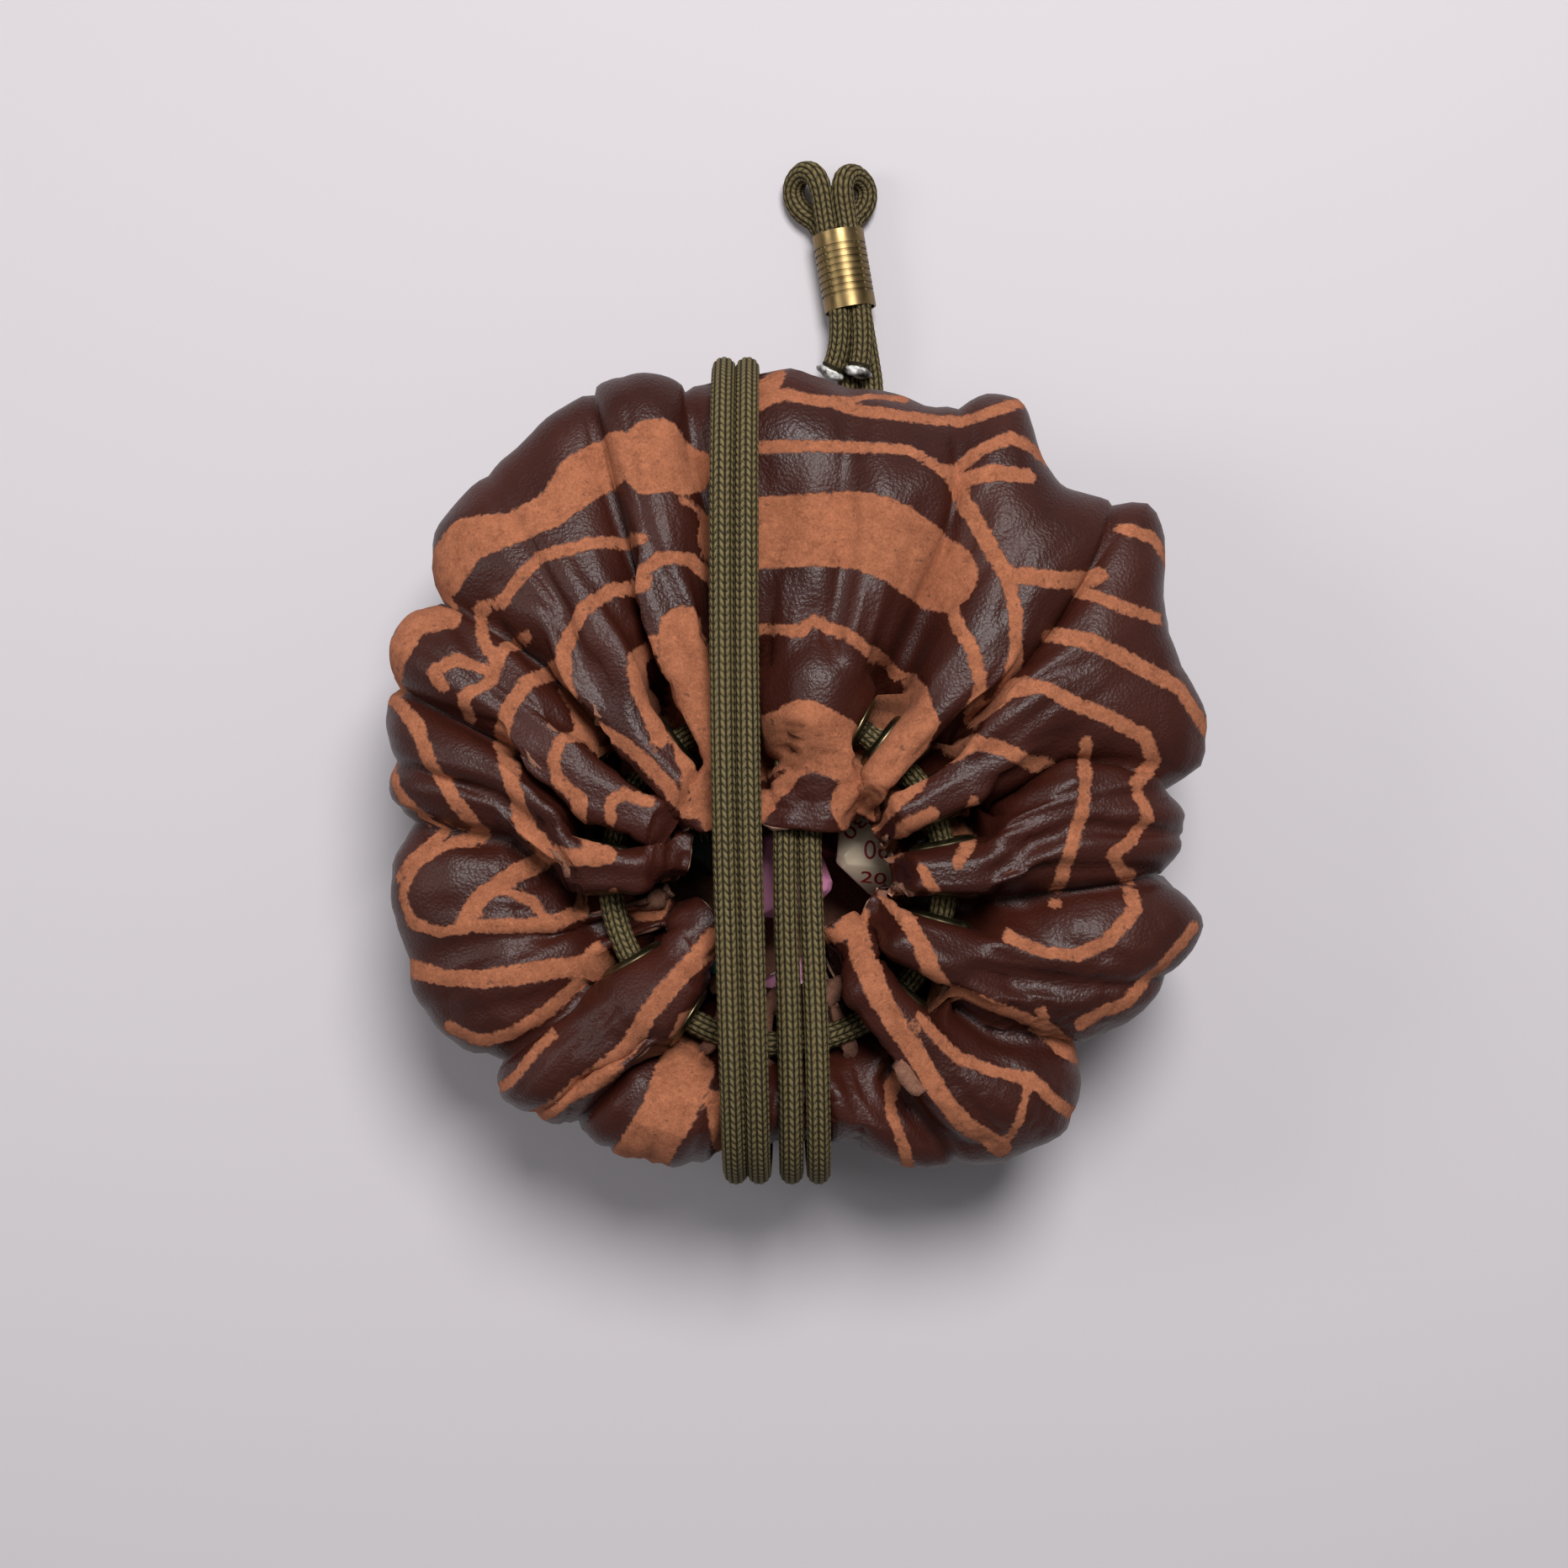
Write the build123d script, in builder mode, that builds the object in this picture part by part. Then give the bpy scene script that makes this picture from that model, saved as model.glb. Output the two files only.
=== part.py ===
from build123d import *
import os
from math import acos, atan, cos, degrees, pi, radians, sin, sqrt, tan

# A gathered leather dice bag, in millimetres. It stands on z = 0 with the middle of its base at the
# origin, +Y towards the folded cord ends and +Z up through the mouth.

# Leather pouch
leather = 1.4
base_radius = 50
flank_radius, flank_height = 71, 11.5
belly_radius, belly_height = 76, 33
haunch_radius, haunch_height = 67.5, 51.5
shoulder_radius, shoulder_height = 46, 62
crown_height = 64
cord_trench_left, cord_trench_right, cord_trench_height = -19, 23, 9
front_groove = (-15, 8.5, -70.5)    # low x, high x, and the y of its face
back_groove = (-18, -6, 74)

# Neck, where the ridges of gathered leather meet the mouth
neck = Vector(-3.8, -18.6, 0)
mouth_radius = 20
mouth_floor = 39.8
valley_depth_z = 44                 # the valley floors beside the mouth
valley_rise_from, valley_slope = 34, 0.7
plan_reach = 140                    # past the bag's edge, however the wedge is cut
ridges = [(-5, 11), (20.5, 32), (41, 52.5), (62, 96), (105.5, 118), (127.5, 139.5),
          (149, 160.5), (170, 184), (210, 237), (304, 318), (327.5, 345)]    # degrees about the neck

# Eyelets and the drawstring through them
ring_radius, ring_z = 31, 52
eyelet_bore_radius, eyelet_barrel_radius = 3.2, 3.7
eyelet_flange_radius, eyelet_flange, eyelet_lip = 6.35, 1.0, 0.2
eyelet_crest_radius = 4.4           # where the domed flange is highest
washer_radius, washer = 5.5, 0.5
curl_radius, curl, curl_taper = 4.6, 0.5, 0.3
fit = 0.05
eyelet_hole_depth = 2 * leather

cord_diameter = 4.0
smallest_run_share = 0.45           # how much of the shorter run one bend may use
ring_start, ring_end = 100, 419.5   # degrees about the neck, anticlockwise

# The two tails, from the ring's ends: forward over the front, beneath, up over the back, forward
# again over the top, and beneath once more to the pivot under the back edge.
left_wrap_route = [
    (-9.18, 11.93, 52), (-4.85, 12.7, 52), (-1.9, 9.87, 52.2), (-2.5, -8, 54), (-2.4, -26, 58.6),
    (-1.7, -45, 60.2), (-1.4, -62, 58.6), (-1.3, -74.6, 50), (-1.2, -75.6, 30), (-1.1, -76, 9),
    (-1.6, -64.5, 2.9), (-2.0, -46, 6.4), (-6.2, -12, 6.7), (-10.6, 26, 6.5), (-13.2, 54, 4.4),
    (-14, 67.5, 2.9), (-14.3, 78.6, 9), (-14.2, 78.8, 29), (-14, 76.6, 46.5), (-13.9, 66, 59.5),
    (-13.9, 48, 65.8), (-13.8, 22, 67.6), (-13.4, -6, 67.8), (-12.6, -34, 67.1), (-12.0, -58, 63.5),
    (-11.8, -74, 52.5), (-11.7, -75.8, 31), (-11.6, -76, 8.5), (-11.2, -64.5, 2.2), (-8.2, -36, 2.4),
    (-3.6, -4, 2.2), (2.2, 24, 2.3), (8.8, 44, 2.2), (11.3, 53.95, 2.2)]
right_wrap_route = [
    (11.93, 8.11, 52), (7.45, 10.75, 52), (2.73, 8.19, 52.2), (1.8, -8, 54), (2.3, -26, 58.6),
    (3.2, -45, 60.2), (3.6, -62, 58.6), (3.8, -74.6, 50), (3.9, -75.6, 30), (3.8, -76, 9),
    (3.3, -64.5, 2.9), (2.5, -46, 6.4), (-1.7, -12, 6.7), (-6.2, 26, 6.5), (-8.8, 54, 4.4),
    (-9.5, 67.5, 2.9), (-9.8, 78.6, 9), (-9.7, 78.8, 29), (-9.6, 76.6, 46.5), (-9.5, 66, 59.5),
    (-9.5, 48, 65.8), (-9.4, 22, 67.6), (-9.0, -6, 67.8), (-8.2, -34, 67.1), (-7.6, -58, 63.5),
    (-7.4, -74, 52.5), (-7.3, -75.8, 31), (-7.2, -76, 8.5), (-6.8, -64.5, 2.2), (-3.7, -36, 2.4),
    (0.9, -8, 2.2), (5.4, 14, 2.5), (9.6, 36, 6.3), (11.3, 53.95, 6.6)]

# The free ends: out from under the bag, up through the ferrule, folded over and back through it.
tail_pivot = Vector(11.3, 56, 0)
left_tail_route = [
    (11.3, 56, 2.2), (10.6, 66, 2.3), (10.8, 77, 2.3), (10.13, 87.56, 3.25), (5.83, 113.0, 3.25),
    (0.4, 116.0, 2.5), (-1.2, 120.8, 2.6), (1.2, 123.8, 5.9), (4.4, 121.7, 9.3), (5.83, 113.0, 7.35),
    (9.96, 88.55, 7.35), (7.2, 83.3, 6.2)]
right_tail_route = [
    (11.3, 56, 6.6), (12.6, 66, 6.3), (16.0, 77, 3.0), (14.17, 88.25, 3.25), (9.98, 113.1, 3.25),
    (14.1, 116.7, 2.5), (14.3, 121.3, 2.6), (11.1, 123.4, 5.9), (8.7, 120.4, 9.3), (9.98, 113.1, 7.35),
    (14.0, 89.23, 7.35), (12.6, 83.4, 7.3)]
tip_radius, tip_length = 2.8, 2.4
tip_widest, tip_taper = 0.55, 0.8    # shares of its length and of its radius

# Brass ferrule round the four strands
ferrule_base = Vector(10.9, 95.3, 5.3)
ferrule_direction = Vector(-0.1664, 0.9861, 0)
ferrule_length, ferrule_radius, ferrule_bore_radius = 15.8, 5.3, 4.95
ferrule_groove, ferrule_groove_count, ferrule_band = 0.2, 8, 2.4
ferrule_groove_share = 0.4          # of each pitch

# Dice: a mound two dice high under the mouth, with a free shaft beside it
inner_radius = {"d4": 3.6, "d6": 7.4, "d8": 6.8, "d10": 6.9, "d12": 8.0, "d20": 8.6, "percentile": 6.9}
corner_radius = {"d4": 9.6, "d6": 10.9, "d8": 10.4, "d10": 8.9, "d12": 9.5, "d20": 10.2,
                 "percentile": 8.9}
kite_lift = 42                      # degrees a d10's faces lean up from its waist
dice_clearance = 0.3
side_dice_from = 43                 # dice further out than this in x stand beside the trench
turn_step = 31                      # degrees between one die and the next

os.makedirs("parts", exist_ok=True)


def heading(azimuth, z=0.0):
    return Vector(cos(radians(azimuth)), sin(radians(azimuth)), z)


def bend_radii(route):
    points = [Vector(*point) for point in route]
    radii = []
    for before, corner, after in zip(points, points[1:], points[2:]):
        run_in, run_out = corner - before, after - corner
        shorter = min(run_in.length, run_out.length)
        radii.append(smallest_run_share * shorter / tan(radians(run_in.get_angle(run_out)) / 2))
    return radii


def report_tube(label, part, path_length):
    tube = pi * cord_diameter ** 2 / 4 * path_length
    print(f"{label}: length {path_length:.1f}, volume {part.volume:.1f} against {tube:.1f}")


def save(part, label):
    part.label = label
    export_step(part, f"parts/{label}.step")


def bag_profile(inset):
    """The closed half section of the bag, drawn in from its outer face by inset."""
    base, belly = (base_radius, inset), (belly_radius - inset, belly_height)
    shoulder = (shoulder_radius, shoulder_height - inset)
    crown = (0, crown_height - inset)
    with BuildSketch() as profile:
        with BuildLine():
            Line((0, inset), base)
            ThreePointArc(base, (flank_radius - inset, flank_height), belly)
            ThreePointArc(belly, (haunch_radius - inset, haunch_height - inset), shoulder)
            Line(shoulder, crown)
            Line(crown, (0, inset))
        make_face()
    return profile.sketch


def valley_plan(inset):
    """Wedges between the ridges, in plan, each widened by inset on both sides."""
    starts = [ridge[1] for ridge in ridges]
    ends = [ridge[0] for ridge in ridges[1:]] + [ridges[0][0] + 360]
    with BuildSketch() as wedges:
        for start, end in zip(starts, ends):
            middle, half = (start + end) / 2, (end - start) / 2
            tip = neck - heading(middle) * (inset / sin(radians(half)))
            with BuildLine():
                Polyline(tip, tip + heading(start) * plan_reach, tip + heading(end) * plan_reach, close=True)
            make_face()
    return wedges.sketch


def valleys(inset):
    """The space over the valley floors, grown by inset towards the leather."""
    floor = valley_depth_z - inset
    rise = (plan_reach - valley_rise_from) * valley_slope
    with BuildPart() as space:
        with BuildSketch():
            add(valley_plan(inset))
        extrude(amount=crown_height + rise)
        with BuildSketch(Plane.XZ.offset(-neck.Y)) as over_floor:
            with BuildLine():
                Polyline((neck.X, floor), (neck.X + valley_rise_from, floor),
                         (neck.X + plan_reach, floor + rise), (neck.X + plan_reach, floor + 2 * rise),
                         (neck.X, floor + 2 * rise), close=True)
            make_face()
        revolve(axis=Axis(neck, (0, 0, 1)), mode=Mode.INTERSECT)
    return space.part


def cord_grooves(inset):
    """The trench beneath the bag and the two grooves where the cords pull the leather in."""
    front_low, front_high, front_face = front_groove
    back_low, back_high, back_face = back_groove
    with BuildPart() as grooves:
        with BuildSketch():
            with Locations(((front_low + front_high) / 2, front_face + inset)):
                Rectangle(front_high - front_low + 2 * inset, plan_reach, align=(Align.CENTER, Align.MAX))
            with Locations(((back_low + back_high) / 2, back_face - inset)):
                Rectangle(back_high - back_low + 2 * inset, plan_reach, align=(Align.CENTER, Align.MIN))
        extrude(amount=crown_height)
        with BuildSketch():
            with Locations(((cord_trench_left + cord_trench_right) / 2, 0)):
                Rectangle(cord_trench_right - cord_trench_left + 2 * inset, 2 * plan_reach)
        extrude(amount=cord_trench_height + inset)
    return grooves.part


with BuildPart() as hollow:
    with BuildSketch(Plane.XZ):
        add(bag_profile(leather))
    revolve(axis=Axis.Z)
    add(valleys(leather), mode=Mode.SUBTRACT)
    add(cord_grooves(leather), mode=Mode.SUBTRACT)

with BuildPart() as leather_pouch:
    with BuildSketch(Plane.XZ):
        add(bag_profile(0))
    revolve(axis=Axis.Z)
    with BuildSketch(Plane.XY.offset(mouth_floor)):
        with Locations((neck.X, neck.Y)):
            Circle(mouth_radius)
    extrude(amount=crown_height, mode=Mode.SUBTRACT)
    add(cord_grooves(0), mode=Mode.SUBTRACT)
    add(valleys(0), mode=Mode.SUBTRACT)
    add(hollow.part, mode=Mode.SUBTRACT)


def eyelet_planes():
    """A plane on each ridge wall's outer face at the drawstring, its z pointing out of the ridge."""
    planes = []
    for start, end in ridges:
        for azimuth, outward in ((start, -1), (end, 1)):
            place = neck + heading(azimuth) * ring_radius + Vector(0, 0, ring_z)
            planes.append(Plane(origin=place, x_dir=heading(azimuth),
                                z_dir=Vector(-sin(radians(azimuth)), cos(radians(azimuth)), 0) * outward))
    return planes


with BuildPart() as pierced_pouch:
    add(leather_pouch.part)
    for plane in eyelet_planes():
        with BuildSketch(plane.offset(-eyelet_hole_depth)):
            Circle(eyelet_barrel_radius + fit)
        extrude(amount=eyelet_hole_depth, mode=Mode.SUBTRACT)
save(pierced_pouch.part, "leather_pouch")

washer_face = leather + washer
curl_face = -washer_face - curl
for number, plane in enumerate(eyelet_planes(), start=1):
    section_plane = Plane(origin=plane.origin, x_dir=plane.x_dir, z_dir=plane.x_dir.cross(plane.z_dir))
    with BuildPart() as eyelet:
        with BuildSketch(section_plane):
            with BuildLine():
                Line((eyelet_bore_radius, curl_face), (eyelet_bore_radius, eyelet_flange / 2))
                ThreePointArc((eyelet_bore_radius, eyelet_flange / 2),
                              (eyelet_crest_radius, eyelet_flange), (eyelet_flange_radius, eyelet_lip))
                Line((eyelet_flange_radius, eyelet_lip), (eyelet_flange_radius, 0))
                Line((eyelet_flange_radius, 0), (eyelet_barrel_radius, 0))
                Line((eyelet_barrel_radius, 0), (eyelet_barrel_radius, -washer_face))
                Line((eyelet_barrel_radius, -washer_face), (curl_radius, -washer_face))
                Line((curl_radius, -washer_face), (curl_radius - curl_taper, curl_face))
                Line((curl_radius - curl_taper, curl_face), (eyelet_bore_radius, curl_face))
            make_face()
        revolve(axis=Axis(plane.origin, plane.z_dir))
    save(eyelet.part, f"eyelet_{number:02d}")

with BuildPart() as eyelet_washers:
    for plane in eyelet_planes():
        with BuildSketch(plane.offset(-leather)):
            Circle(washer_radius)
            Circle(eyelet_barrel_radius + fit, mode=Mode.SUBTRACT)
        extrude(amount=-washer)
save(eyelet_washers.part, "eyelet_washers")

ring_plane = Plane(origin=neck, x_dir=heading(ring_start), z_dir=heading(ring_start).cross(Vector(0, 0, 1)))
with BuildPart() as drawstring_ring:
    with BuildSketch(ring_plane):
        with Locations((ring_radius, ring_z)):
            Circle(cord_diameter / 2)
    revolve(axis=Axis(neck, (0, 0, 1)), revolution_arc=ring_end - ring_start)
report_tube("drawstring_ring", drawstring_ring.part, radians(ring_end - ring_start) * ring_radius)
save(drawstring_ring.part, "drawstring_ring")

cord_routes = {"left_wrap": left_wrap_route, "right_wrap": right_wrap_route,
               "left_tail": left_tail_route, "right_tail": right_tail_route}
for label, route in cord_routes.items():
    radii = bend_radii(route)
    with BuildPart() as cord:
        with BuildLine() as path:
            FilletPolyline(*route, radius=radii)
        line = path.wires()[0]
        with BuildSketch(Plane(origin=line @ 0, z_dir=line % 0)):
            Circle(cord_diameter / 2)
        sweep(path=line)
    print(f"{label}: bend radii", " ".join(f"{radius:.1f}" for radius in radii))
    report_tube(label, cord.part, line.length)
    if label.endswith("tail"):
        with cord:
            with Locations(route[0]):
                Sphere(cord_diameter / 2)
    save(cord.part, label)

for side, route in (("left", left_tail_route), ("right", right_tail_route)):
    end_plane = Plane(origin=route[-1], z_dir=Vector(*route[-1]) - Vector(*route[-2]))
    with BuildPart() as melted_tip:
        with BuildSketch(end_plane):
            Circle(cord_diameter / 2)
        with BuildSketch(end_plane.offset(tip_length * tip_widest)):
            Circle(tip_radius)
        with BuildSketch(end_plane.offset(tip_length)):
            Circle(tip_radius * tip_taper)
        loft(ruled=True)
    save(melted_tip.part, f"{side}_melted_tip")

groove_pitch = (ferrule_length - 2 * ferrule_band) / ferrule_groove_count
ferrule_plane = Plane(origin=ferrule_base, z_dir=ferrule_direction)
with BuildPart() as ferrule:
    with BuildSketch(ferrule_plane):
        Circle(ferrule_radius)
        Circle(ferrule_bore_radius, mode=Mode.SUBTRACT)
    extrude(amount=ferrule_length)
    for groove in range(ferrule_groove_count):
        start = ferrule_band + (groove + (1 - ferrule_groove_share) / 2) * groove_pitch
        with BuildSketch(ferrule_plane.offset(start)):
            Circle(2 * ferrule_radius)
            Circle(ferrule_radius - ferrule_groove, mode=Mode.SUBTRACT)
        extrude(amount=ferrule_groove_share * groove_pitch, mode=Mode.SUBTRACT)
save(ferrule.part, "brass_ferrule")


def face_normals(kind):
    """The outward normals of a die's faces, turned so that one of them points straight down."""
    golden = (1 + sqrt(5)) / 2
    corners = [Vector(x, y, z) for x in (1, -1) for y in (1, -1) for z in (1, -1)]
    if kind == "d6":
        return [axis.direction * sign for axis in (Axis.X, Axis.Y, Axis.Z) for sign in (1, -1)]
    if kind in ("d10", "percentile"):
        faces = []
        for k in range(5):
            for turn, sign in ((0, 1), (36, -1)):
                flat = heading(72 * k + turn) * cos(radians(kite_lift))
                faces.append(Vector(flat.X, flat.Y, sign * sin(radians(kite_lift))))
        return [face.rotate(Axis.Y, kite_lift - 90) for face in faces]
    if kind == "d12":
        faces = [Vector(0, a, b * golden) for a in (1, -1) for b in (1, -1)]
        faces += [Vector(a, b * golden, 0) for a in (1, -1) for b in (1, -1)]
        faces += [Vector(b * golden, 0, a) for a in (1, -1) for b in (1, -1)]
        return [face.normalized().rotate(Axis.X, degrees(atan(1 / golden))) for face in faces]
    if kind == "d20":
        for a in (1, -1):
            for b in (1, -1):
                corners += [Vector(0, a / golden, b * golden), Vector(a / golden, b * golden, 0),
                            Vector(b * golden, 0, a / golden)]
    if kind == "d4":
        corners = [-corner for corner in corners if corner.X * corner.Y * corner.Z > 0]
    return [corner.normalized().rotate(Axis.Z, -45).rotate(Axis.Y, -degrees(acos(1 / sqrt(3))))
            for corner in corners]


def die(kind, centre, turn):
    with BuildPart() as shape:
        with Locations(centre):
            Sphere(corner_radius[kind])
        for normal in face_normals(kind):
            outward = normal.rotate(Axis.Z, turn)
            split(bisect_by=Plane(origin=centre + outward * inner_radius[kind], z_dir=outward),
                  keep=Keep.BOTTOM)
    return shape.part


bottom_spots = [(-22, -45), (0, -45), (22, -45), (-44, -12), (-22, -12), (0, -12), (22, -12), (44, -12),
                (-44, 11), (-22, 11), (0, 11), (22, 11), (44, 11), (-41, 31), (-22, 34), (0, 34),
                (22, 34), (41, 31)]
bottom_dice = [("green", "d6"), ("pink", "d6"), ("cream", "d6"), ("pink", "d20"), ("green", "d4"),
               ("pink", "d4"), ("cream", "d4"), ("green", "d20"), ("cream", "d20"), ("cream", "d10"),
               ("cream", "d8"), ("green", "d8"), ("cream", "d12"), ("pink", "d12"), ("green", "percentile"),
               ("pink", "percentile"), ("pink", "d10"), ("green", "d12")]
top_dice = [("cream", "percentile", Vector(14.5, -14, 31.5), 20),
            ("pink", "d8", Vector(-2.4, -19.5, 31), 50), ("green", "d10", Vector(-18, -37, 32.6), 75)]
for index, ((x, y), (colour, kind)) in enumerate(zip(bottom_spots, bottom_dice)):
    level = leather + dice_clearance + (cord_trench_height if abs(x) < side_dice_from else 0)
    save(die(kind, Vector(x, y, level + inner_radius[kind]), turn_step * index), f"{colour}_{kind}")
for colour, kind, centre, turn in top_dice:
    save(die(kind, centre, turn), f"{colour}_{kind}")
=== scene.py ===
import bpy
import bmesh
import numpy as np
from math import cos, radians, sin, pi
from mathutils import Matrix, Vector, noise
from mathutils.kdtree import KDTree


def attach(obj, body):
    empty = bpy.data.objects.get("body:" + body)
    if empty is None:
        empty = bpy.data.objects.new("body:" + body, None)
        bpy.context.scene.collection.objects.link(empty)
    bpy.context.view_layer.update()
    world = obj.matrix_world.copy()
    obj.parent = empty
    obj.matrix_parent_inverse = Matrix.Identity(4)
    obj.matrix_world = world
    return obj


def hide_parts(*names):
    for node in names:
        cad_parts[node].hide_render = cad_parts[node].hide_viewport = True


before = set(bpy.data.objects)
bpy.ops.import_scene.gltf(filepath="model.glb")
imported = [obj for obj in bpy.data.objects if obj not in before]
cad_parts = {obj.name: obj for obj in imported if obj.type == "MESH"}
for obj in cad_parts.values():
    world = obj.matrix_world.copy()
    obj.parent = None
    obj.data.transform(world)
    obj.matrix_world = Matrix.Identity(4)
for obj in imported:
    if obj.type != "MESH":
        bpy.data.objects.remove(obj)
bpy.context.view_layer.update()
scene = bpy.context.scene
mm = 0.001  # sizes in the settings are in millimetres unless a note says metres

# The camera looks straight down over the bag; its height and place are in metres.
cameraSettings = {"height": 0.5, "over": (-0.0027, -0.0015), "lens": 55.6, "sensor": 36, "near": 0.01}
cameraData = bpy.data.cameras.new("topCamera")
cameraData.lens = cameraSettings["lens"]
cameraData.sensor_width = cameraSettings["sensor"]
cameraData.clip_start = cameraSettings["near"]
topCamera = bpy.data.objects.new("topCamera", cameraData)
topCamera.location = (*cameraSettings["over"], cameraSettings["height"])
scene.collection.objects.link(topCamera)
scene.camera = topCamera
print("camera done")


def newMaterial(name, **sockets):  # what is the same all over is set on the shader's own sockets
    material = bpy.data.materials.new(name)
    material.use_nodes = True
    shader = material.node_tree.nodes["Principled BSDF"]
    for label, value in sockets.items():
        shader.inputs[label].default_value = value
    return material, material.node_tree, shader


def addNode(tree, kind, **values):
    node = tree.nodes.new(kind)
    for key, value in values.items():
        setattr(node, key, value)
    return node


def setSocket(tree, socket, value):  # a number or a colour is set, and anything else is linked
    if isinstance(value, (int, float, tuple)):
        socket.default_value = value
    else:
        tree.links.new(value, socket)


def objectPlace(tree):
    return addNode(tree, "ShaderNodeTexCoord").outputs["Object"]


def noiseOf(tree, place, **values):
    node = addNode(tree, "ShaderNodeTexNoise")
    for label, value in values.items():
        node.inputs[label].default_value = value
    tree.links.new(place, node.inputs["Vector"])
    return node.outputs["Fac"]


def mathNode(tree, operation, first, second, clamp=False):
    node = addNode(tree, "ShaderNodeMath", operation=operation, use_clamp=clamp)
    setSocket(tree, node.inputs[0], first)
    setSocket(tree, node.inputs[1], second)
    return node.outputs[0]


def times(tree, first, second, clamp=False):
    return mathNode(tree, "MULTIPLY", first, second, clamp)


def plus(tree, first, second, clamp=False):
    return mathNode(tree, "ADD", first, second, clamp)


def minus(tree, first, second, clamp=False):
    return mathNode(tree, "SUBTRACT", first, second, clamp)


def mixColour(tree, factor, first, second):
    node = addNode(tree, "ShaderNodeMix", data_type="RGBA")
    for number, value in ((0, factor), (6, first), (7, second)):  # 6 and 7 are the colour inputs
        setSocket(tree, node.inputs[number], value)
    return node.outputs[2]


def ramp(tree, value, *stops):
    node = addNode(tree, "ShaderNodeValToRGB")
    tree.links.new(value, node.inputs[0])
    elements = node.color_ramp.elements
    while len(elements) < len(stops):
        elements.new(0.5)
    for element, (place, colour) in zip(elements, stops):
        element.position = place
        element.color = colour
    return node.outputs[0]


def newGroup(name, inputs, outputs):
    group = bpy.data.node_groups.new(name, "ShaderNodeTree")
    for direction, sockets in (("INPUT", inputs), ("OUTPUT", outputs)):
        for label, kind in sockets:
            group.interface.new_socket(label, in_out=direction, socket_type="NodeSocket" + kind)
    return group, group.nodes.new("NodeGroupInput"), group.nodes.new("NodeGroupOutput")


def useGroup(tree, group, **values):
    node = addNode(tree, "ShaderNodeGroup", node_tree=group)
    for label, value in values.items():
        setSocket(tree, node.inputs[label], value)
    return node


def paint(tree, shader, colour, height, bump):  # bump is its strength and its depth
    node = addNode(tree, "ShaderNodeBump")
    node.inputs["Strength"].default_value = bump[0]
    node.inputs["Distance"].default_value = bump[1] * mm
    tree.links.new(height, node.inputs["Height"])
    tree.links.new(node.outputs[0], shader.inputs["Normal"])
    tree.links.new(colour, shader.inputs["Base Color"])


def finishPiece(piece, body, material, *replaced, slot):
    piece.data.materials.append(material)
    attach(piece, body)
    if replaced:
        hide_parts(*replaced)


def linked(name, mesh, smooth=True):
    mesh.polygons.foreach_set("use_smooth", [smooth] * len(mesh.polygons))
    piece = bpy.data.objects.new(name, mesh)
    scene.collection.objects.link(piece)
    return piece


def toObject(name, bm, smooth=True):
    mesh = bpy.data.meshes.new(name)
    bm.to_mesh(mesh)
    bm.free()
    return linked(name, mesh, smooth)


def meshOf(curve):
    holder = bpy.data.objects.new(curve.name, curve)
    mesh = bpy.data.meshes.new_from_object(holder)
    bpy.data.objects.remove(holder)
    return mesh


def pointValues(mesh, what):
    values = np.empty(len(mesh.vertices) * 3)
    mesh.vertices.foreach_get(what, values)
    return values.reshape(-1, 3)


# The cord is nominally as thick as its diameter, and drawn a little fatter before its ribs and
# stitches are sunk into it. The routes are the points that the cord's solids follow.
cordSettings = {"diameter": 4.0, "drawn": 4.6, "ribs": 12, "stitch": 1.45, "slant": 0.8, "ringStep": 0.36,
                "sides": 48, "ribDepth": 0.2, "stitchDepth": 0.24, "curveSteps": 24, "pathEvery": 4}
leftWrapRoute = [
    (-9.18, 11.93, 52), (-4.85, 12.7, 52), (-1.9, 9.87, 52.2), (-2.5, -8, 54), (-2.4, -26, 58.6),
    (-1.7, -45, 60.2), (-1.4, -62, 58.6), (-1.3, -74.6, 50), (-1.2, -75.6, 30), (-1.1, -76, 9),
    (-1.6, -64.5, 2.9), (-2.0, -46, 6.4), (-6.2, -12, 6.7), (-10.6, 26, 6.5), (-13.2, 54, 4.4),
    (-14, 67.5, 2.9), (-14.3, 78.6, 9), (-14.2, 78.8, 29), (-14, 76.6, 46.5), (-13.9, 66, 59.5),
    (-13.9, 48, 65.8), (-13.8, 22, 67.6), (-13.4, -6, 67.8), (-12.6, -34, 67.1), (-12.0, -58, 63.5),
    (-11.8, -74, 52.5), (-11.7, -75.8, 31), (-11.6, -76, 8.5), (-11.2, -64.5, 2.2), (-8.2, -36, 2.4),
    (-3.6, -4, 2.2), (2.2, 24, 2.3), (8.8, 44, 2.2), (11.3, 53.95, 2.2)]
rightWrapRoute = [
    (11.93, 8.11, 52), (7.45, 10.75, 52), (2.73, 8.19, 52.2), (1.8, -8, 54), (2.3, -26, 58.6),
    (3.2, -45, 60.2), (3.6, -62, 58.6), (3.8, -74.6, 50), (3.9, -75.6, 30), (3.8, -76, 9),
    (3.3, -64.5, 2.9), (2.5, -46, 6.4), (-1.7, -12, 6.7), (-6.2, 26, 6.5), (-8.8, 54, 4.4),
    (-9.5, 67.5, 2.9), (-9.8, 78.6, 9), (-9.7, 78.8, 29), (-9.6, 76.6, 46.5), (-9.5, 66, 59.5),
    (-9.5, 48, 65.8), (-9.4, 22, 67.6), (-9.0, -6, 67.8), (-8.2, -34, 67.1), (-7.6, -58, 63.5),
    (-7.4, -74, 52.5), (-7.3, -75.8, 31), (-7.2, -76, 8.5), (-6.8, -64.5, 2.2), (-3.7, -36, 2.4),
    (0.9, -8, 2.2), (5.4, 14, 2.5), (9.6, 36, 6.3), (11.3, 53.95, 6.6)]
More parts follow.
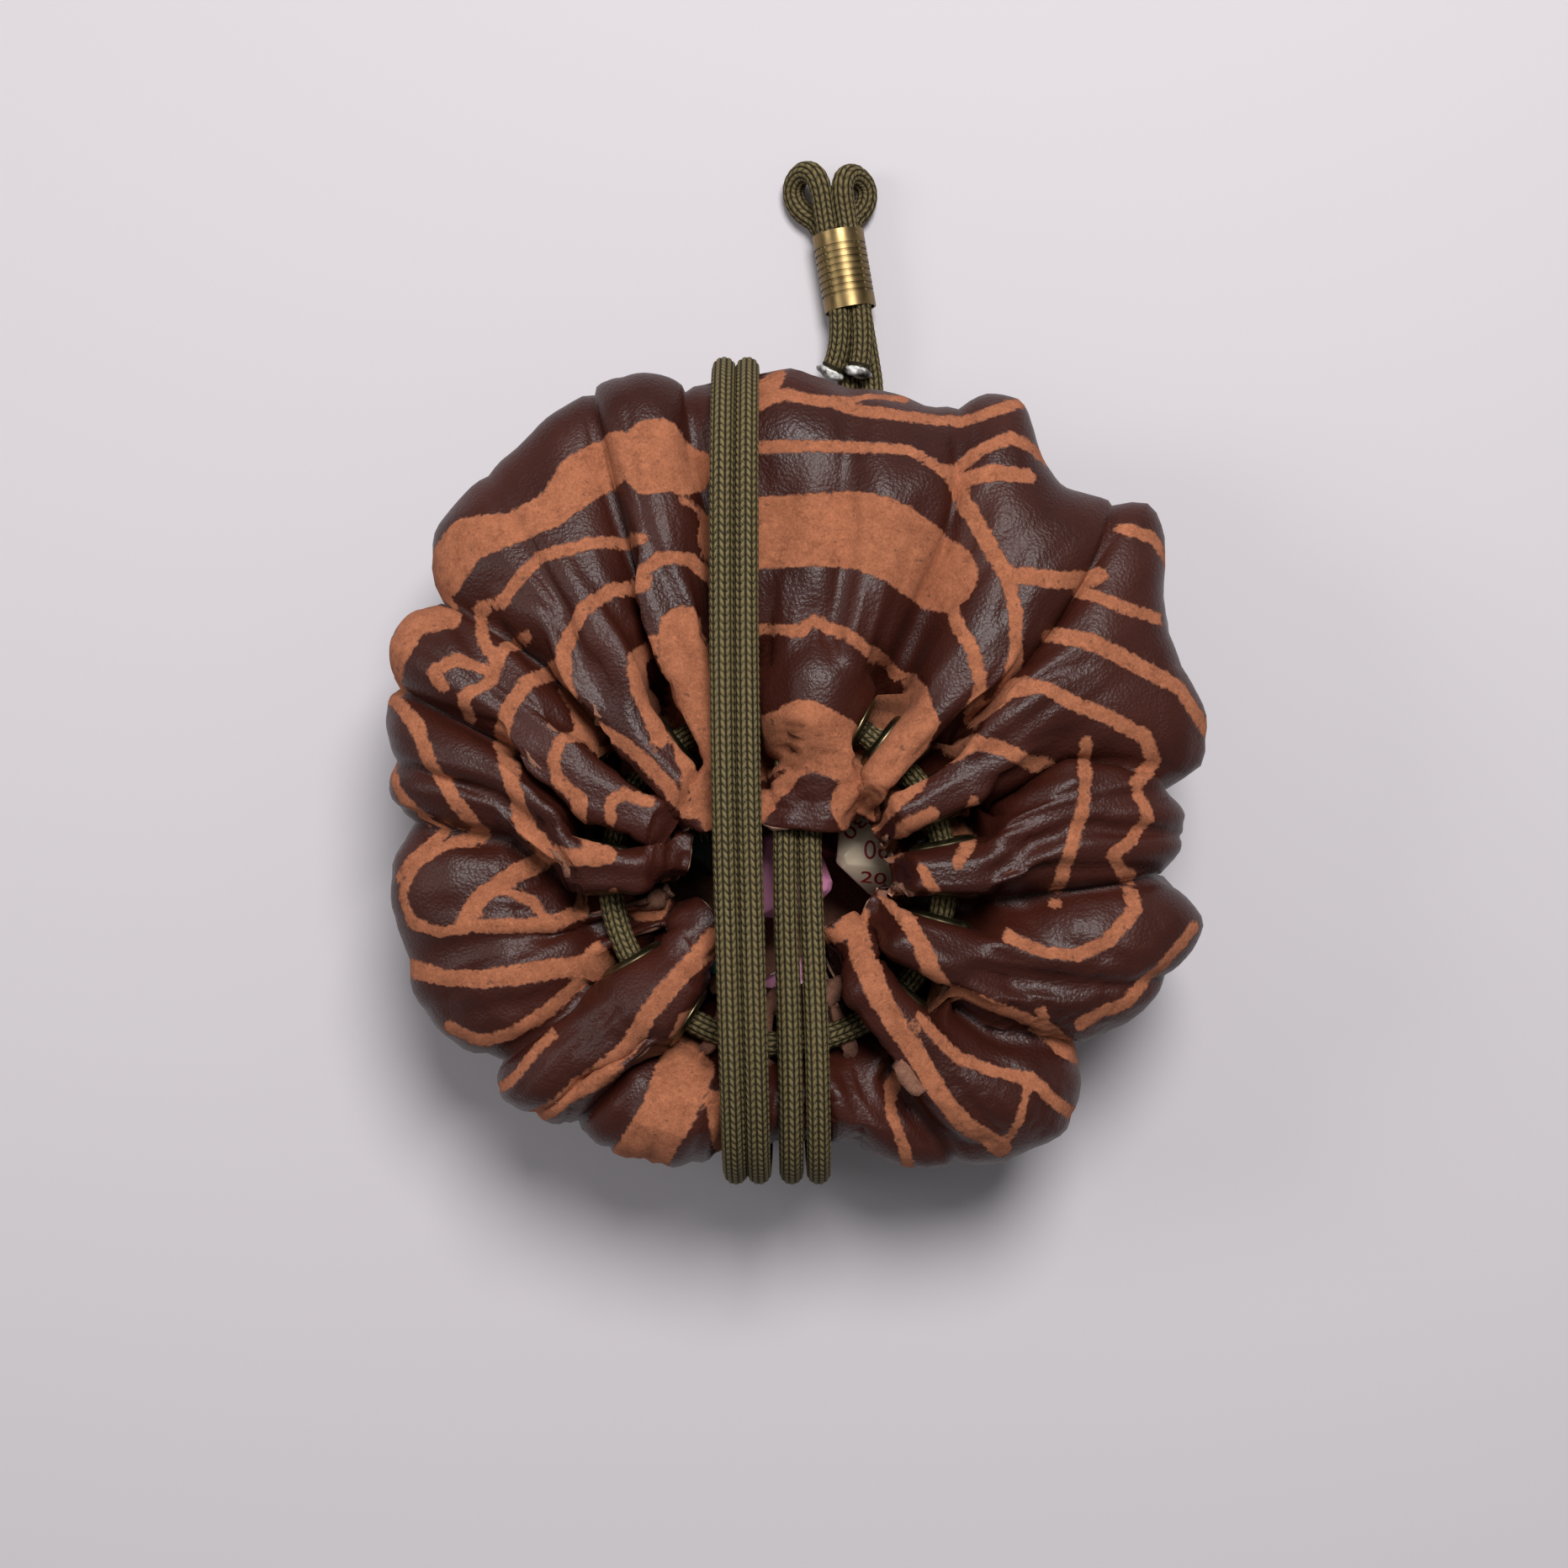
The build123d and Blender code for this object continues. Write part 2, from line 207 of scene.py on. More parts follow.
leftTailRoute = [
    (11.3, 56, 2.2), (10.6, 66, 2.3), (10.8, 77, 2.3), (10.13, 87.56, 3.25), (5.83, 113.0, 3.25),
    (0.4, 116.0, 2.5), (-1.2, 120.8, 2.6), (1.2, 123.8, 5.9), (4.4, 121.7, 9.3), (5.83, 113.0, 7.35),
    (9.96, 88.55, 7.35), (7.2, 83.3, 6.2)]
rightTailRoute = [
    (11.3, 56, 6.6), (12.6, 66, 6.3), (16.0, 77, 3.0), (14.17, 88.25, 3.25), (9.98, 113.1, 3.25),
    (14.1, 116.7, 2.5), (14.3, 121.3, 2.6), (11.1, 123.4, 5.9), (8.7, 120.4, 9.3), (9.98, 113.1, 7.35),
    (14.0, 89.23, 7.35), (12.6, 83.4, 7.3)]
neck = Vector((-3.8, -18.6, 0))  # the middle of the mouth
ringSettings = {"radius": 31.0, "z": 52.0, "from": 100, "to": 419.5, "steps": 16}  # from and to in degrees


def ringRoute():
    low, high, steps = ringSettings["from"], ringSettings["to"], ringSettings["steps"]
    reach = ringSettings["radius"] / cos(radians((high - low) / steps / 2))
    points = []
    for step in range(steps + 1):
        azimuth = radians(low + (high - low) * step / steps)
        radius = ringSettings["radius"] if step in (0, steps) else reach
        points.append((neck.x + radius * cos(azimuth), neck.y + radius * sin(azimuth), ringSettings["z"]))
    return points


# the points, in metres, of the NURBS line that a route draws
def smoothLine(route):
    data = bpy.data.curves.new("route", "CURVE")
    data.dimensions = "3D"
    data.resolution_u = cordSettings["curveSteps"]
    spline = data.splines.new("NURBS")
    spline.points.add(len(route) - 1)
    for point, place in zip(spline.points, route):
        point.co = (*(Vector(place) * mm), 1)
    spline.order_u = 3
    spline.use_endpoint_u = True
    mesh = meshOf(data)
    line = [vertex.co.copy() for vertex in mesh.vertices]
    bpy.data.meshes.remove(mesh)
    return line


def evenPoints(line, step):
    points = np.array([tuple(point) for point in line])
    lengths = np.r_[0, np.cumsum(np.linalg.norm(np.diff(points, axis=0), axis=1))]
    places = np.linspace(0, lengths[-1], int(lengths[-1] / step) + 1)
    even = np.stack([np.interp(places, lengths, points[:, axis]) for axis in range(3)], axis=1)
    return even, lengths[-1]


# a tube whose surface carries the ribs and slanted stitches of the braid
def braidedCord(name, route):
    settings = cordSettings
    even, length = evenPoints(smoothLine(route), settings["ringStep"] * mm)
    rings = len(even)
    data = bpy.data.curves.new(name, "CURVE")
    data.dimensions = "3D"
    data.bevel_depth = settings["drawn"] / 2 * mm
    data.bevel_resolution = settings["sides"] // 2 - 2
    data.use_fill_caps = True
    spline = data.splines.new("POLY")
    spline.points.add(rings - 1)
    spline.points.foreach_set("co", np.c_[even, np.ones(rings)].ravel())
    mesh = meshOf(data)
    mesh.name = name
    sides = round(len(mesh.vertices) / rings)
    ring, side = np.divmod(np.arange(rings * sides), sides)
    along = ring * length / (rings - 1) / (settings["stitch"] * mm)
    around = side / sides * settings["ribs"]
    rib, across = np.divmod(around, 1)
    slant = np.where(rib % 2 == 0, across, 1 - across) * settings["slant"]
    ribHeight = np.sqrt(np.abs(np.sin(pi * across)))
    stitchHeight = np.sqrt(np.abs(np.sin(pi * (along + slant))))
    sink = (1 - ribHeight) * settings["ribDepth"] + (1 - stitchHeight) * settings["stitchDepth"]
    places = pointValues(mesh, "co")
    out = places[:rings * sides] - even[ring]
    out /= np.linalg.norm(out, axis=1, keepdims=True)
    places[:rings * sides] -= out * sink[:, None] * mm
    mesh.vertices.foreach_set("co", places.ravel())
    weave = mesh.attributes.new("weave", "FLOAT_VECTOR", "POINT")
    values = np.zeros((len(mesh.vertices), 3))
    values[:rings * sides] = np.c_[around, along, np.minimum(ribHeight, stitchHeight)]
    weave.data.foreach_set("vector", values.ravel())
    kept = np.linspace(0, rings - 1, rings // settings["pathEvery"]).round().astype(int)
    return linked(name, mesh), [Vector(point) for point in even[kept]], length


cords = {}
for name, route in (("leftWrap", leftWrapRoute), ("rightWrap", rightWrapRoute),
                    ("leftTail", leftTailRoute), ("rightTail", rightTailRoute),
                    ("drawstringRing", ringRoute())):
    cords[name] = braidedCord(name, route)
    print("cord", name, round(cords[name][2] / mm, 1), "mm,", len(cords[name][0].data.polygons), "faces")

# Cells run from crease to crease round the neck. Azimuths are in degrees. A cell with eyelets is a ridge
# whose petal ends at end, given as azimuth, radius, z and turn; a cell without is an open valley. What a
# cell leaves out of lean, roll, fold, fat and step is 0.
cells = [
    {"eyelets": (-5, 11), "end": (0, 20.5, 53.0, 5), "endHalf": 4.5, "lean": -1.0, "roll": 2.0,
     "fold": 0.45, "fat": 2.2, "step": 1.0},
    {"eyelets": (20.5, 32), "end": (21, 19.5, 54.5, 32), "endHalf": 3.2, "lean": 0.8, "roll": 3.0,
     "fat": 2.2},
    {"eyelets": (41, 52.5), "end": (38.5, 18.5, 55.5, 60), "endHalf": 4.4, "lean": -1.6, "roll": -3.0,
     "fat": 1.3},
    {"eyelets": (62, 96), "end": (65, 9.6, 60.5, 84), "endHalf": 9.6, "fold": 0.4, "fat": 1.0, "step": 4.5},
    {"eyelets": (105.5, 118), "end": (136, 13.8, 61.0, 102), "endHalf": 4.2, "lean": 1.6, "roll": 3.0,
     "fat": 2.6},
    {"eyelets": (127.5, 139.5), "end": (145, 18.0, 58.0, 124), "endHalf": 3.6, "lean": 1.2, "roll": 2.5,
     "fold": 0.5, "fat": 2.9, "step": 1.2},
    {"eyelets": (149, 160.5), "end": (158, 21.0, 60.0, 146), "endHalf": 3.2, "lean": 0.6, "roll": 2.0,
     "fat": 2.9},
    {"eyelets": (170, 184), "end": (165, 16.5, 57.0, 172), "endHalf": 4.2, "lean": -0.5, "roll": -1.5,
     "fold": 0.55, "fat": 2.5, "step": 1.2},
    {"eyelets": None, "end": (197, 20, 44.0, 197), "endHalf": 3.5, "fold": 0.5},
    {"eyelets": (210, 237), "end": (214, 13.0, 59.5, 219), "endHalf": 5.0, "lean": 1.5, "roll": 2.5,
     "fold": 0.62, "fat": 1.5, "step": -1.6},
    {"eyelets": None, "end": (256.5, 21, 43.0, 256.5), "endHalf": 7.0},
    {"eyelets": None, "end": (284, 21, 43.0, 284), "endHalf": 7.0, "fold": 0.4},
    {"eyelets": (304, 318), "end": (322, 13.0, 56.5, 304), "endHalf": 4.0, "lean": -1.2, "roll": -3.0,
     "fat": 2.5},
    {"eyelets": (327.5, 345), "end": (341, 17.0, 54.0, 332), "endHalf": 4.8, "lean": -1.2, "roll": -2.0,
     "fold": 0.5, "fat": 1.6, "step": -1.0}]
creaseAtRing = [-10, 15.7, 36.5, 57.2, 100.7, 122.7, 144.2, 165.2, 189, 205, 243, 270, 298, 322.7]
creaseMidway = [-3, 22.5, 41, 62, 101, 115, 137.5, 154, 172, 213, 231, 264, 300, 324]
creaseAtEdge = [0, 12, 48, 69, 101, 111, 141, 154, 172, 214, 231, 262, 302, 331]
# The bag's widest outline about the neck: azimuth in degrees, radius in millimetres.
outline = [(0, 73.5), (4, 76.5), (9, 78), (12, 77), (15, 84), (21, 87), (31, 87.5), (36, 91), (40, 97),
           (45, 101), (50, 94.5), (54, 92), (58, 94.5), (63, 101), (67, 100.5), (72, 94), (78, 95),
           (84, 94), (89, 96), (94, 93.5), (100, 95), (105, 98.5), (111, 101), (116, 98), (121, 94.5),
           (128, 94), (135, 93), (139, 89), (141.5, 82), (144, 85.5), (148, 87), (156, 82.5),
           (163, 77.5), (169, 77), (172.5, 73), (177, 75), (184, 75), (190, 72.5), (197, 72.5),
           (205, 71), (210, 69), (214, 66.5), (219, 68), (226, 65), (233, 62.5), (243, 60.5),
           (251, 58.5), (257, 55), (261, 52), (266, 51.5), (272, 51.5), (278, 51), (284, 52),
           (290, 57), (296, 62), (303, 67.5), (310, 71), (318, 73), (324, 70.5), (330, 67),
           (335, 70), (343, 76), (350, 80), (354, 81.5), (358, 76.5)]
leatherSettings = {
    "thickness": 1.4, "columns": 26, "baseRows": 12, "sideRows": 18, "topRows": 62, "petalRows": 30,
    "bellyZ": 34.0, "crownRise": 30.0, "crownPower": 0.5, "crownFollow": 0.6, "baseScale": 0.67,
    "sidePower": 0.9, "rowStep": 2.4, "inwardFrom": 0.6, "heart": (0, 0, 30), "mergeWithin": 0.02}
ridgeSettings = {
    "ringShare": 0.2, "rise": 12.0, "drop": 10.0, "openRise": -4.0, "openDrop": 8.0, "openInset": 0.2,
    "archPower": 0.8, "swellPower": 0.42, "creasePower": 0.4, "creaseInward": 0.7, "nearRing": (0.09, 0.25),
    "foldWidth": 0.06, "stepBefore": 0.015, "stepAfter": 0.03,
    "leanAbove": (56, 62), "leanOut": (0.25, 0.6), "fatAbove": (55, 61), "fatOut": (0.3, 0.6),
    "fatByWidth": ([10, 28], [1, 0.4])}
petalSettings = {"free": 25.5, "wideFree": 4, "wideHalf": 8, "bend": 8.0, "leastBend": 2, "shortest": 22,
                 "edgePower": 0.3, "troughLift": 0.3, "openSink": 6, "blend": 0.15}
trenchSettings = {"height": 9.4, "left": (-24, -16), "right": (20, 27), "ends": (66, 74), "endDrop": 0.3,
                  "baseZ": 0.5}
# Each has shares of the way from the ring to the outline, and its value at each.
leatherProfiles = {
    "creaseDepth": ([0, 0.15, 0.3, 0.5, 0.8, 1], [22, 18, 14, 11, 7.5, 4.0]),
    "foldDepth": ([0, 0.2, 0.4, 0.7, 1], [0, 2.6, 3.4, 2.2, 1.0]),
    "step": ([0, 0.12, 0.3, 0.6, 0.95], [0, 1, 1, 0.8, 0]),
    "valleySink": ([0, 0.2, 0.45, 0.7, 1], [17, 10, 4, 1.0, 0]),
    "roll": ([0.15, 0.4, 0.7, 1], [0, 1, 0.6, 0])}
outlineSmoothing = {"step": 0.5, "reach": 4, "spread": 2}  # the step is in degrees


def smoothStep(low, high, value):
    share = np.clip((value - low) / (high - low), 0, 1)
    return share * share * (3 - 2 * share)


# azimuths between one crease and the next, with the last crease joined to the first
def aroundCells(values, cell, share):
    wrapped = np.array(list(values) + [values[0] + 360], float)
    return wrapped[cell] * (1 - share) + wrapped[cell + 1] * share


def cellValue(key, part=None):
    return np.array([cell.get(key, 0) if part is None else cell[key][part] for cell in cells], float)


def outlineRadius(azimuth):
    table = np.array(outline + [(outline[0][0] + 360, outline[0][1])], float)
    dense = np.arange(0, 360, outlineSmoothing["step"])
    radius = np.interp(dense, table[:, 0], table[:, 1])
    reach, spread = outlineSmoothing["reach"], outlineSmoothing["spread"]
    weights = np.exp(-np.linspace(-spread, spread, 2 * reach + 1) ** 2)
    padded = np.r_[radius[-reach:], radius, radius[:reach]]
    radius = np.convolve(padded, weights / weights.sum(), mode="valid")
    return np.interp(azimuth % 360, np.r_[dense, 360], np.r_[radius, radius[0]])


# places of the sheet: across counts cells, and down counts rows from the base to the petals' edge
def leatherPlaces(across, down):
    settings, ridge, petal, trench = leatherSettings, ridgeSettings, petalSettings, trenchSettings
    cell = np.clip(np.floor(across).astype(int), 0, len(cells) - 1)
    share = np.clip(across - cell, 0, 1)
    hasEyelets = np.array([c["eyelets"] is not None for c in cells])[cell]
    starts = np.array([(c["eyelets"] or (0, 0))[0] for c in cells], float)
    ends = np.array([(c["eyelets"] or (0, 0))[1] for c in cells], float)
    creases = np.array(creaseAtRing + [creaseAtRing[0] + 360], float)
    left, right = creases[cell], creases[cell + 1]
    inset = ridge["openInset"]
    for index, c in enumerate(cells):
        if c["eyelets"] is None:
            starts[index] = creases[index] * (1 - inset) + creases[index + 1] * inset
            ends[index] = creases[index] * inset + creases[index + 1] * (1 - inset)
    start, end = starts[cell], ends[cell]
    rise = np.where(hasEyelets, ridge["rise"], ridge["openRise"])
    drop = np.where(hasEyelets, ridge["drop"], ridge["openDrop"])
    edge = ridge["ringShare"]

    # section at the ring: arches between the eyelets, narrow troughs between the arches
    arch = pi * np.clip((share - edge) / (1 - 2 * edge), 0, 1)
    ringAzimuth = (start + end) / 2 - (end - start) / 2 * np.cos(arch)
    ringHeight = rise * np.sin(arch) ** ridge["archPower"]
    lowTurn = pi / 2 * np.clip(1 - share / edge, 0, 1)
    highTurn = pi / 2 * np.clip((share - 1 + edge) / edge, 0, 1)
    inLow, inHigh = share < edge, share > 1 - edge
    ringAzimuth = np.where(inLow, start + (left - start) * (1 - np.cos(lowTurn)), ringAzimuth)
    ringAzimuth = np.where(inHigh, end + (right - end) * (1 - np.cos(highTurn)), ringAzimuth)
    ringHeight = np.where(inLow, -drop * np.sin(lowTurn), ringHeight)
    ringHeight = np.where(inHigh, -drop * np.sin(highTurn), ringHeight)
    ringRadius, ringZ = ringSettings["radius"], ringSettings["z"]

    base, side, top = settings["baseRows"], settings["sideRows"], settings["topRows"]
    swell = np.abs(np.sin(pi * share)) ** ridge["swellPower"]
    foldAt = cellValue("fold")[cell]
    folded = (foldAt > 0) * np.exp(-np.abs(share - foldAt) / ridge["foldWidth"])
    stepped = smoothStep(foldAt - ridge["stepBefore"], foldAt + ridge["stepAfter"], share)
    stepped = cellValue("step")[cell] * (0.5 - stepped)

    # between the outline, where out is 1, and the ring, where it is 0
    crownTurn = pi / 2 * np.clip(1 - (down - base - side) / top, 0, 1)
    out = np.sin(crownTurn)
    wideAzimuth = np.where(out > 0.5,
                           aroundCells(creaseMidway, cell, share) * (2 - 2 * out)
                           + aroundCells(creaseAtEdge, cell, share) * (2 * out - 1),
                           aroundCells(creaseAtRing, cell, share) * (1 - 2 * out)
                           + aroundCells(creaseMidway, cell, share) * (2 * out))
    nearRing = 1 - smoothStep(*ridge["nearRing"], out)
    azimuth = wideAzimuth * (1 - nearRing) + ringAzimuth * nearRing
    radius = ringRadius + (outlineRadius(azimuth) - ringRadius) * out
    crown = settings["bellyZ"] + settings["crownRise"] * np.cos(crownTurn) ** settings["crownPower"]
    depth, foldDepth, stepShare, sunk, roll = (
        np.interp(out, *leatherProfiles[name])
        for name in ("creaseDepth", "foldDepth", "step", "valleySink", "roll"))
    sunk = np.where(hasEyelets, 0, 1) * sunk
    wideZ = crown - depth * (1 - swell) * np.cos(crownTurn) ** ridge["creasePower"] - sunk * swell
    wideZ = wideZ - foldDepth * folded + stepShare * stepped * swell
    crownTop = settings["bellyZ"] + settings["crownRise"]
    ringLevel = ringZ + ringHeight + (crown - crownTop) * settings["crownFollow"]
    z = wideZ * (1 - nearRing) + ringLevel * nearRing
    radius = radius - (depth * (1 - swell) * ridge["creaseInward"] + foldDepth * folded) * np.sin(crownTurn)
    rolled = cellValue("roll")[cell] * np.sin(pi * share) * roll
    azimuth = azimuth + np.degrees(rolled / radius)

    # under the belly
    sideTurn = pi / 2 * np.clip(1 - (down - base) / side, 0, 1)
    scale = settings["baseScale"] + (1 - settings["baseScale"]) * np.cos(sideTurn) ** settings["sidePower"]
    scale = np.where(down < base, settings["baseScale"] * down / base, scale)
    below = down < base + side
    angle = np.radians(azimuth)
    x, y = neck.x + radius * np.cos(angle), neck.y + radius * np.sin(angle)
    x, y = np.where(below, x * scale, x), np.where(below, y * scale, y)
    lifted = trench["height"] * smoothStep(*trench["left"], x) * (1 - smoothStep(*trench["right"], x))
    bottomZ = trench["baseZ"] + lifted * (1 - smoothStep(*trench["ends"], np.abs(y)) * trench["endDrop"])
    lowZ = settings["bellyZ"] * (1 - np.sin(sideTurn)) + bottomZ * np.sin(sideTurn)
    z = np.where(below, lowZ, z)

    # petals, inside the ring: they leave it straight inwards and then bend to where they end
    inward = np.clip((down - base - side - top) / settings["petalRows"], 0, 1)
    middle = (start + end) / 2
    endAzimuth, endRadius, endZ, endTurn = (cellValue("end", part)[cell] for part in range(4))
    endHalf = cellValue("endHalf")[cell]
    shortest = np.maximum(endRadius, petal["shortest"])
    reachEnd = shortest + (endRadius - shortest) * np.abs(np.sin(pi * share)) ** petal["edgePower"]
    reach = ringRadius + (reachEnd - ringRadius) * inward
    freeFrom = petal["free"] + petal["wideFree"] * (endHalf > petal["wideHalf"])
    bend = np.clip(freeFrom - endRadius, petal["leastBend"], petal["bend"])
    free = smoothStep(0, 1, (freeFrom - reach) / bend)
    sideways = (ringAzimuth - middle) / ((end - start) / 2)
    half = reach * np.tan(np.radians((end - start) / 2)) * (1 - free) + endHalf * free
    bent = np.radians(middle + (endAzimuth - middle) * free)
    arched = np.where(ringHeight > 0, ringHeight / np.maximum(rise, 1), 0)
    archRise = rise * (1 - free) + (endZ - ringZ) * free
    troughHeight = ringHeight * (1 - petal["troughLift"] * inward)
    petalHeight = np.where(ringHeight >= 0, archRise * arched, troughHeight)
    petalHeight = np.where(hasEyelets, petalHeight, ringHeight - petal["openSink"] * inward)
    wide = np.radians(middle + (endTurn - middle) * free)
    petalX = neck.x + reach * np.cos(bent) - half * sideways * np.sin(wide)
    petalY = neck.y + reach * np.sin(bent) + half * sideways * np.cos(wide)
    polar = np.radians(ringAzimuth)
    keep = smoothStep(0.0, petal["blend"], inward)
    petalX = (neck.x + reach * np.cos(polar)) * (1 - keep) + petalX * keep
    petalY = (neck.y + reach * np.sin(polar)) * (1 - keep) + petalY * keep
    x, y = np.where(inward > 0, petalX, x), np.where(inward > 0, petalY, y)
    z = np.where(inward > 0, ringZ + petalHeight, z)

    # lean and swell the ridges beside the ring, so that they close over the troughs
    onArch = np.where(inLow | inHigh, 0, 1)
    leaning = np.sin(arch) * onArch * smoothStep(*ridge["leanAbove"], z)
    leaning = leaning * (1 - smoothStep(*ridge["leanOut"], out)) * hasEyelets
    fat = -np.sin(2 * arch) * cellValue("fat")[cell] * onArch * smoothStep(*ridge["fatAbove"], z)
    fat = fat * (1 - smoothStep(*ridge["fatOut"], out)) * hasEyelets
    fat = fat * np.interp(end - start, *ridge["fatByWidth"])
    shift = cellValue("lean")[cell] * leaning + fat
    return x - np.sin(polar) * shift, y + np.cos(polar) * shift, z


eyeletSettings = {"flat": 7.2, "blend": 3, "hole": 4.0, "reach": 6, "ownCells": 0.33}


# each eyelet's centre, its radial direction, and the direction out of its ridge
def eyeletWalls():
    walls = []
    for cell in cells:
        for azimuth, outward in zip(cell["eyelets"] or (), (-1, 1)):
            radial = Vector((cos(radians(azimuth)), sin(radians(azimuth)), 0))
            facing = Vector((-radial.y, radial.x, 0)) * outward
            walls.append((neck + radial * ringSettings["radius"] + Vector((0, 0, ringSettings["z"])),
                          radial, facing))
    return walls


# moves the sheet flush with every eyelet's flange, and says which points its hole takes
def flattenAtEyelets(places, across, walls):
    flat, reach = eyeletSettings["flat"], eyeletSettings["reach"]
    inHole = np.zeros(len(places), bool)
    wallCells = [index for index, cell in enumerate(cells) if cell["eyelets"] for turn in range(2)]
    for number, (centre, radial, facing) in enumerate(walls):
        radial, facing = np.array(radial), np.array(facing)
        offset = places - np.array(centre)
        aside = offset @ facing
        distance = np.hypot(offset @ radial, offset[:, 2])
        edge = ridgeSettings["ringShare"]
        ownShare = wallCells[number] + (edge if number % 2 == 0 else 1 - edge)
        own = (np.abs(across - ownShare) < eyeletSettings["ownCells"]) & (np.abs(aside) < reach)
        weight = (1 - smoothStep(flat, flat + eyeletSettings["blend"], distance)) * own
        places -= facing * (aside * weight)[:, None]
        inHole |= own & (distance < eyeletSettings["hole"])
    return inHole


# The wide flap lies over the cords below flapZ and behind flapY, so it is pressed up and not in.
pressSettings = {"holdOff": 2.45, "reach": 2.5, "flapZ": 60, "flapY": -16, "inward": 0.6, "soft": 0.25}


def pressUnderCords(places, normals, lines):
    settings = pressSettings
    points = [point / mm for line in lines for point in line]
    tree = KDTree(len(points))
    for number, point in enumerate(points):
        tree.insert(point, number)
    tree.balance()
    hold = settings["holdOff"]
    for number in range(len(places)):
        near, found, distance = tree.find(places[number])
        if distance < hold + settings["reach"]:
            away = Vector(places[number]) - near
            flapOver = near.z < settings["flapZ"] and near.y > settings["flapY"] and away.z > 0
            inward = Vector((0, 0, 1)) if flapOver else Vector(normals[number]) * -1
            if away.dot(inward) < 0 and distance < hold:
                away = away - 2 * inward * away.dot(inward)
            away = (away.normalized() + inward * settings["inward"]).normalized()
            wanted = hold + settings["soft"] * max(distance - hold, 0)
            if distance < wanted:
                places[number] = np.array(near + away * wanted)


# A dent has a scale, a height and an offset; a crease has a count round the neck, a depth and a run.
wrinkleSettings = {"dents": ((0.045, 1.8, (0, 0, 0)), (0.11, 0.5, (7, 3, 1))), "calmBelow": 12,
                   "creases": ((7, 1.3, 0.02), (17, 0.55, 0.03), (40, 0.16, 0.05)), "sharpness": 3.5,
                   "weakAt": 96, "strongAt": 45, "weak": 0.2, "strong": 0.8}


# soft dents everywhere, and sharp creases that run along the folds, strongest near the neck
def wrinkle(places, normals, inward):
    settings = wrinkleSettings
    for number, (place, normal) in enumerate(zip(places, normals)):
        spot = Vector(place)
        fromNeck = spot - neck
        radius = max(fromNeck.to_2d().length, 1)
        turn = np.arctan2(fromNeck.y, fromNeck.x)
        dent = sum(noise.noise(spot * scale + Vector(offset)) * height
                   for scale, height, offset in settings["dents"])
        creased = 0
        for count, depth, run in settings["creases"]:
            value = noise.noise(Vector((turn * count, radius * run, spot.z * run + count)))
            creased -= depth * max(0, 1 - abs(value) * settings["sharpness"]) ** 2
        nearNeck = smoothStep(settings["weakAt"], settings["strongAt"], radius)
        share = float(nearNeck * settings["strong"] + settings["weak"]) * inward[number]
        shift = dent * min(1, spot.z / settings["calmBelow"]) * inward[number] + creased * share
        places[number] = place + normal * shift


